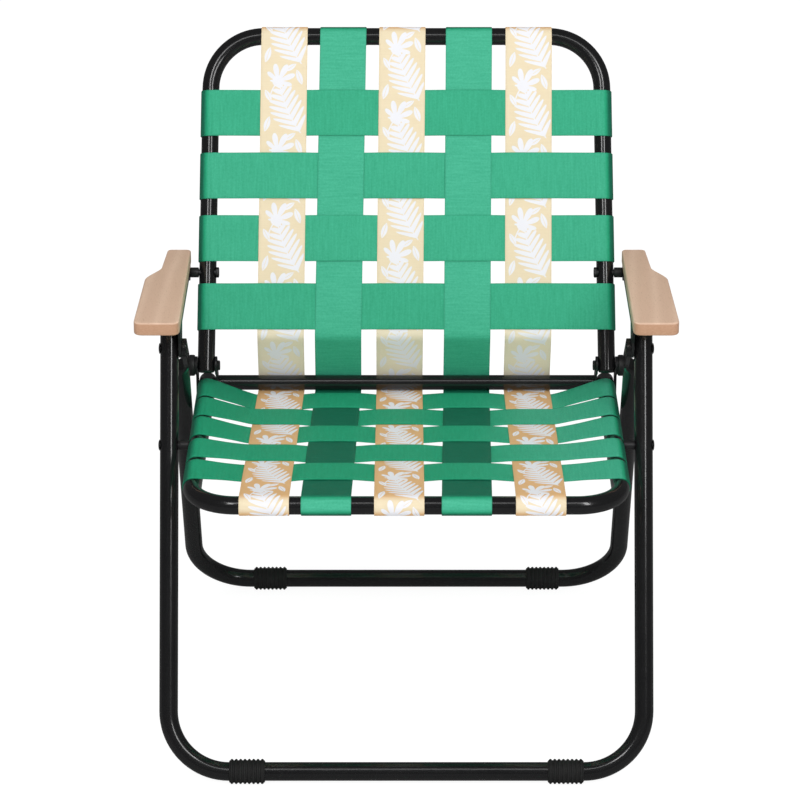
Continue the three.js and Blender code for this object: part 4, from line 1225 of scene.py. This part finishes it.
def seat_cross_stations(index):
    place = SEAT_PLACES[index]
    base = seat_level(place)
    knots = cross_knots(index, place, seat_x)

    def half(mirror, knot):
        """Hem, wrap and the run up to the first long strap, from the outside in."""
        inner, level = mirror * knot[0] + STRAP_REACH, base + knot[1]
        reach = hypot(inner - FRAME_HALF, level)
        towards = atan2(level, inner - FRAME_HALF) % (2 * pi)
        leave = degrees(towards - acos(FRAME_WRAP / reach))
        points = hemmed(FRAME_HALF, leave, 0.0)
        last, last_level, _ = points[-1]
        for step in range(1, 10):
            share = step / 10
            x = last + (inner - last) * share
            points.append((x, last_level + (level - last_level) * share, eased(share * 1.4)))
        return [(mirror * x, height, tilt) for x, height, tilt in points]

    path = half(-1, knots[0])
    for x in places(knots[0][0] - STRAP_REACH, knots[-1][0] + STRAP_REACH):
        path.append((x, base + weave_level(x, knots), 1.0))
    path += reversed(half(1, knots[-1]))
    stations = []
    for (x, level, tilt), run_x, run_level in with_runs(spaced(path)):
        across = Vector((0, 1, SEAT_SAG * tilt)).normalized()
        stations.append(station((x, place, level), (run_x, 0, run_level), across))
    return stations


def back_cross_stations(index):
    place = BACK_PLACES[index]
    half = FRAME_HALF - BACK_TAPER * place / BACK_HEIGHT
    lean = atan2(BACK_TAPER, BACK_HEIGHT)
    inner = half - 12
    knots = [(-inner, 0.0), *cross_knots(index, place, back_x), (inner, 0.0)]
    end = hemmed(half, 90, 1.0)
    path = [(-x, level, -tilt) for x, level, tilt in end]
    for x in places(4 - half, half - 3):
        path.append((x, FRAME_WRAP + weave_level(x, knots), max(min((x / inner) ** 3, 1), -1)))
    path += reversed(end)
    stations = []
    for (x, level, tilt), run_x, run_level in with_runs(spaced(path)):
        across = Vector((-sin(lean * tilt), 0, cos(lean * tilt)))
        stations.append(station((x, BACK_AXIS - level, place), (run_x, -run_level, 0), across))
    return stations


def cross_painted_light(centre, normal, painted_light, gain):
    """Painted light of a cross strap: painted shade (0) where it turns round a side tube, and a painted
    brightening by gain towards the right.
    """
    turning = eased((abs(normal.x) - 0.15) / 0.5)
    return (painted_light + gain * eased((centre.x - 40) / 170)) * (1 - turning)


def make_cross_straps():
    for placed, body, levels, gain in (
        (seat_cross_stations, "seat", SEAT_PAINTED_LIGHTS, SEAT_PAINTED_LIGHT_GAIN),
        (back_cross_stations, "back", BACK_PAINTED_LIGHTS, 0.0),
    ):
        for index, painted_light in enumerate(levels):
            stations = placed(index)
            # Painted light and shade of each station
            painted_lights = [cross_painted_light(centre, normal, painted_light, gain) for centre, _, normal in stations]
            piece = band(f"{body}_cross_band_{index + 1}", stations, green_band, painted_lights, FRAMES[body])
            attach(piece, body)
            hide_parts(f"{body}_cross_strap_{index + 1}")


def finish_cad_nodes():
    """Nodes that stay as they are get their finishes."""
    for part, finish in (("arm_rail", satin_black), ("hinge_bracket", satin_black), ("screw", dark_steel)):
        for name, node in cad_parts.items():
            for material_slot in node.material_slots if part in name else ():
                material_slot.material = finish


bpy.context.scene.view_settings.view_transform = "Standard"
make_camera()
make_world()
make_floor()
make_lamp("key_left", (0.55, 0.8), 12, (-0.88, -2.43, 2.9))
make_lamp("key_right", (0.55, 1.9), 27, (1.4, -2.64, 2.75))
make_lamp("strip", (2.6, 0.45), 10, (0, -2.1, 3.3))
make_lamp("front", (2.4, 2.4), 44, (0, -3.9, 2.6), mirrored=False)
make_lamp("above", (1.6, 1.6), 9, (0, -0.1, 3.0), target=(0, -0.1, 0), mirrored=False)

gloss_black = painted_steel("gloss_black_paint", (0.006, 0.006, 0.0065, 1), 0.2, 0.5)
satin_black = painted_steel("satin_black_paint", (0.012, 0.0125, 0.0135, 1), 0.38, 0.1)
dark_steel = zinc_screw("blackened_steel")
black_plastic = moulded_plastic("black_plastic", (0.01, 0.01, 0.0105, 1), 0.45)
rubber = moulded_plastic("black_rubber", (0.009, 0.009, 0.009, 1), 0.72)
pale_beech = beech("pale_beech")
green_band = green_webbing("green_satin_webbing")
beige_band = printed_webbing("leaf_print_webbing")
tubes = tube_tree()
ribs = rib_tree()

make_frames()
for side in SIDES:
    make_rivets(*side)
    make_plugs(*side)
    make_hinge(*side)
    make_arm_bolt(*side)
make_feet()
make_armrests()
make_long_straps()
make_cross_straps()
finish_cad_nodes()
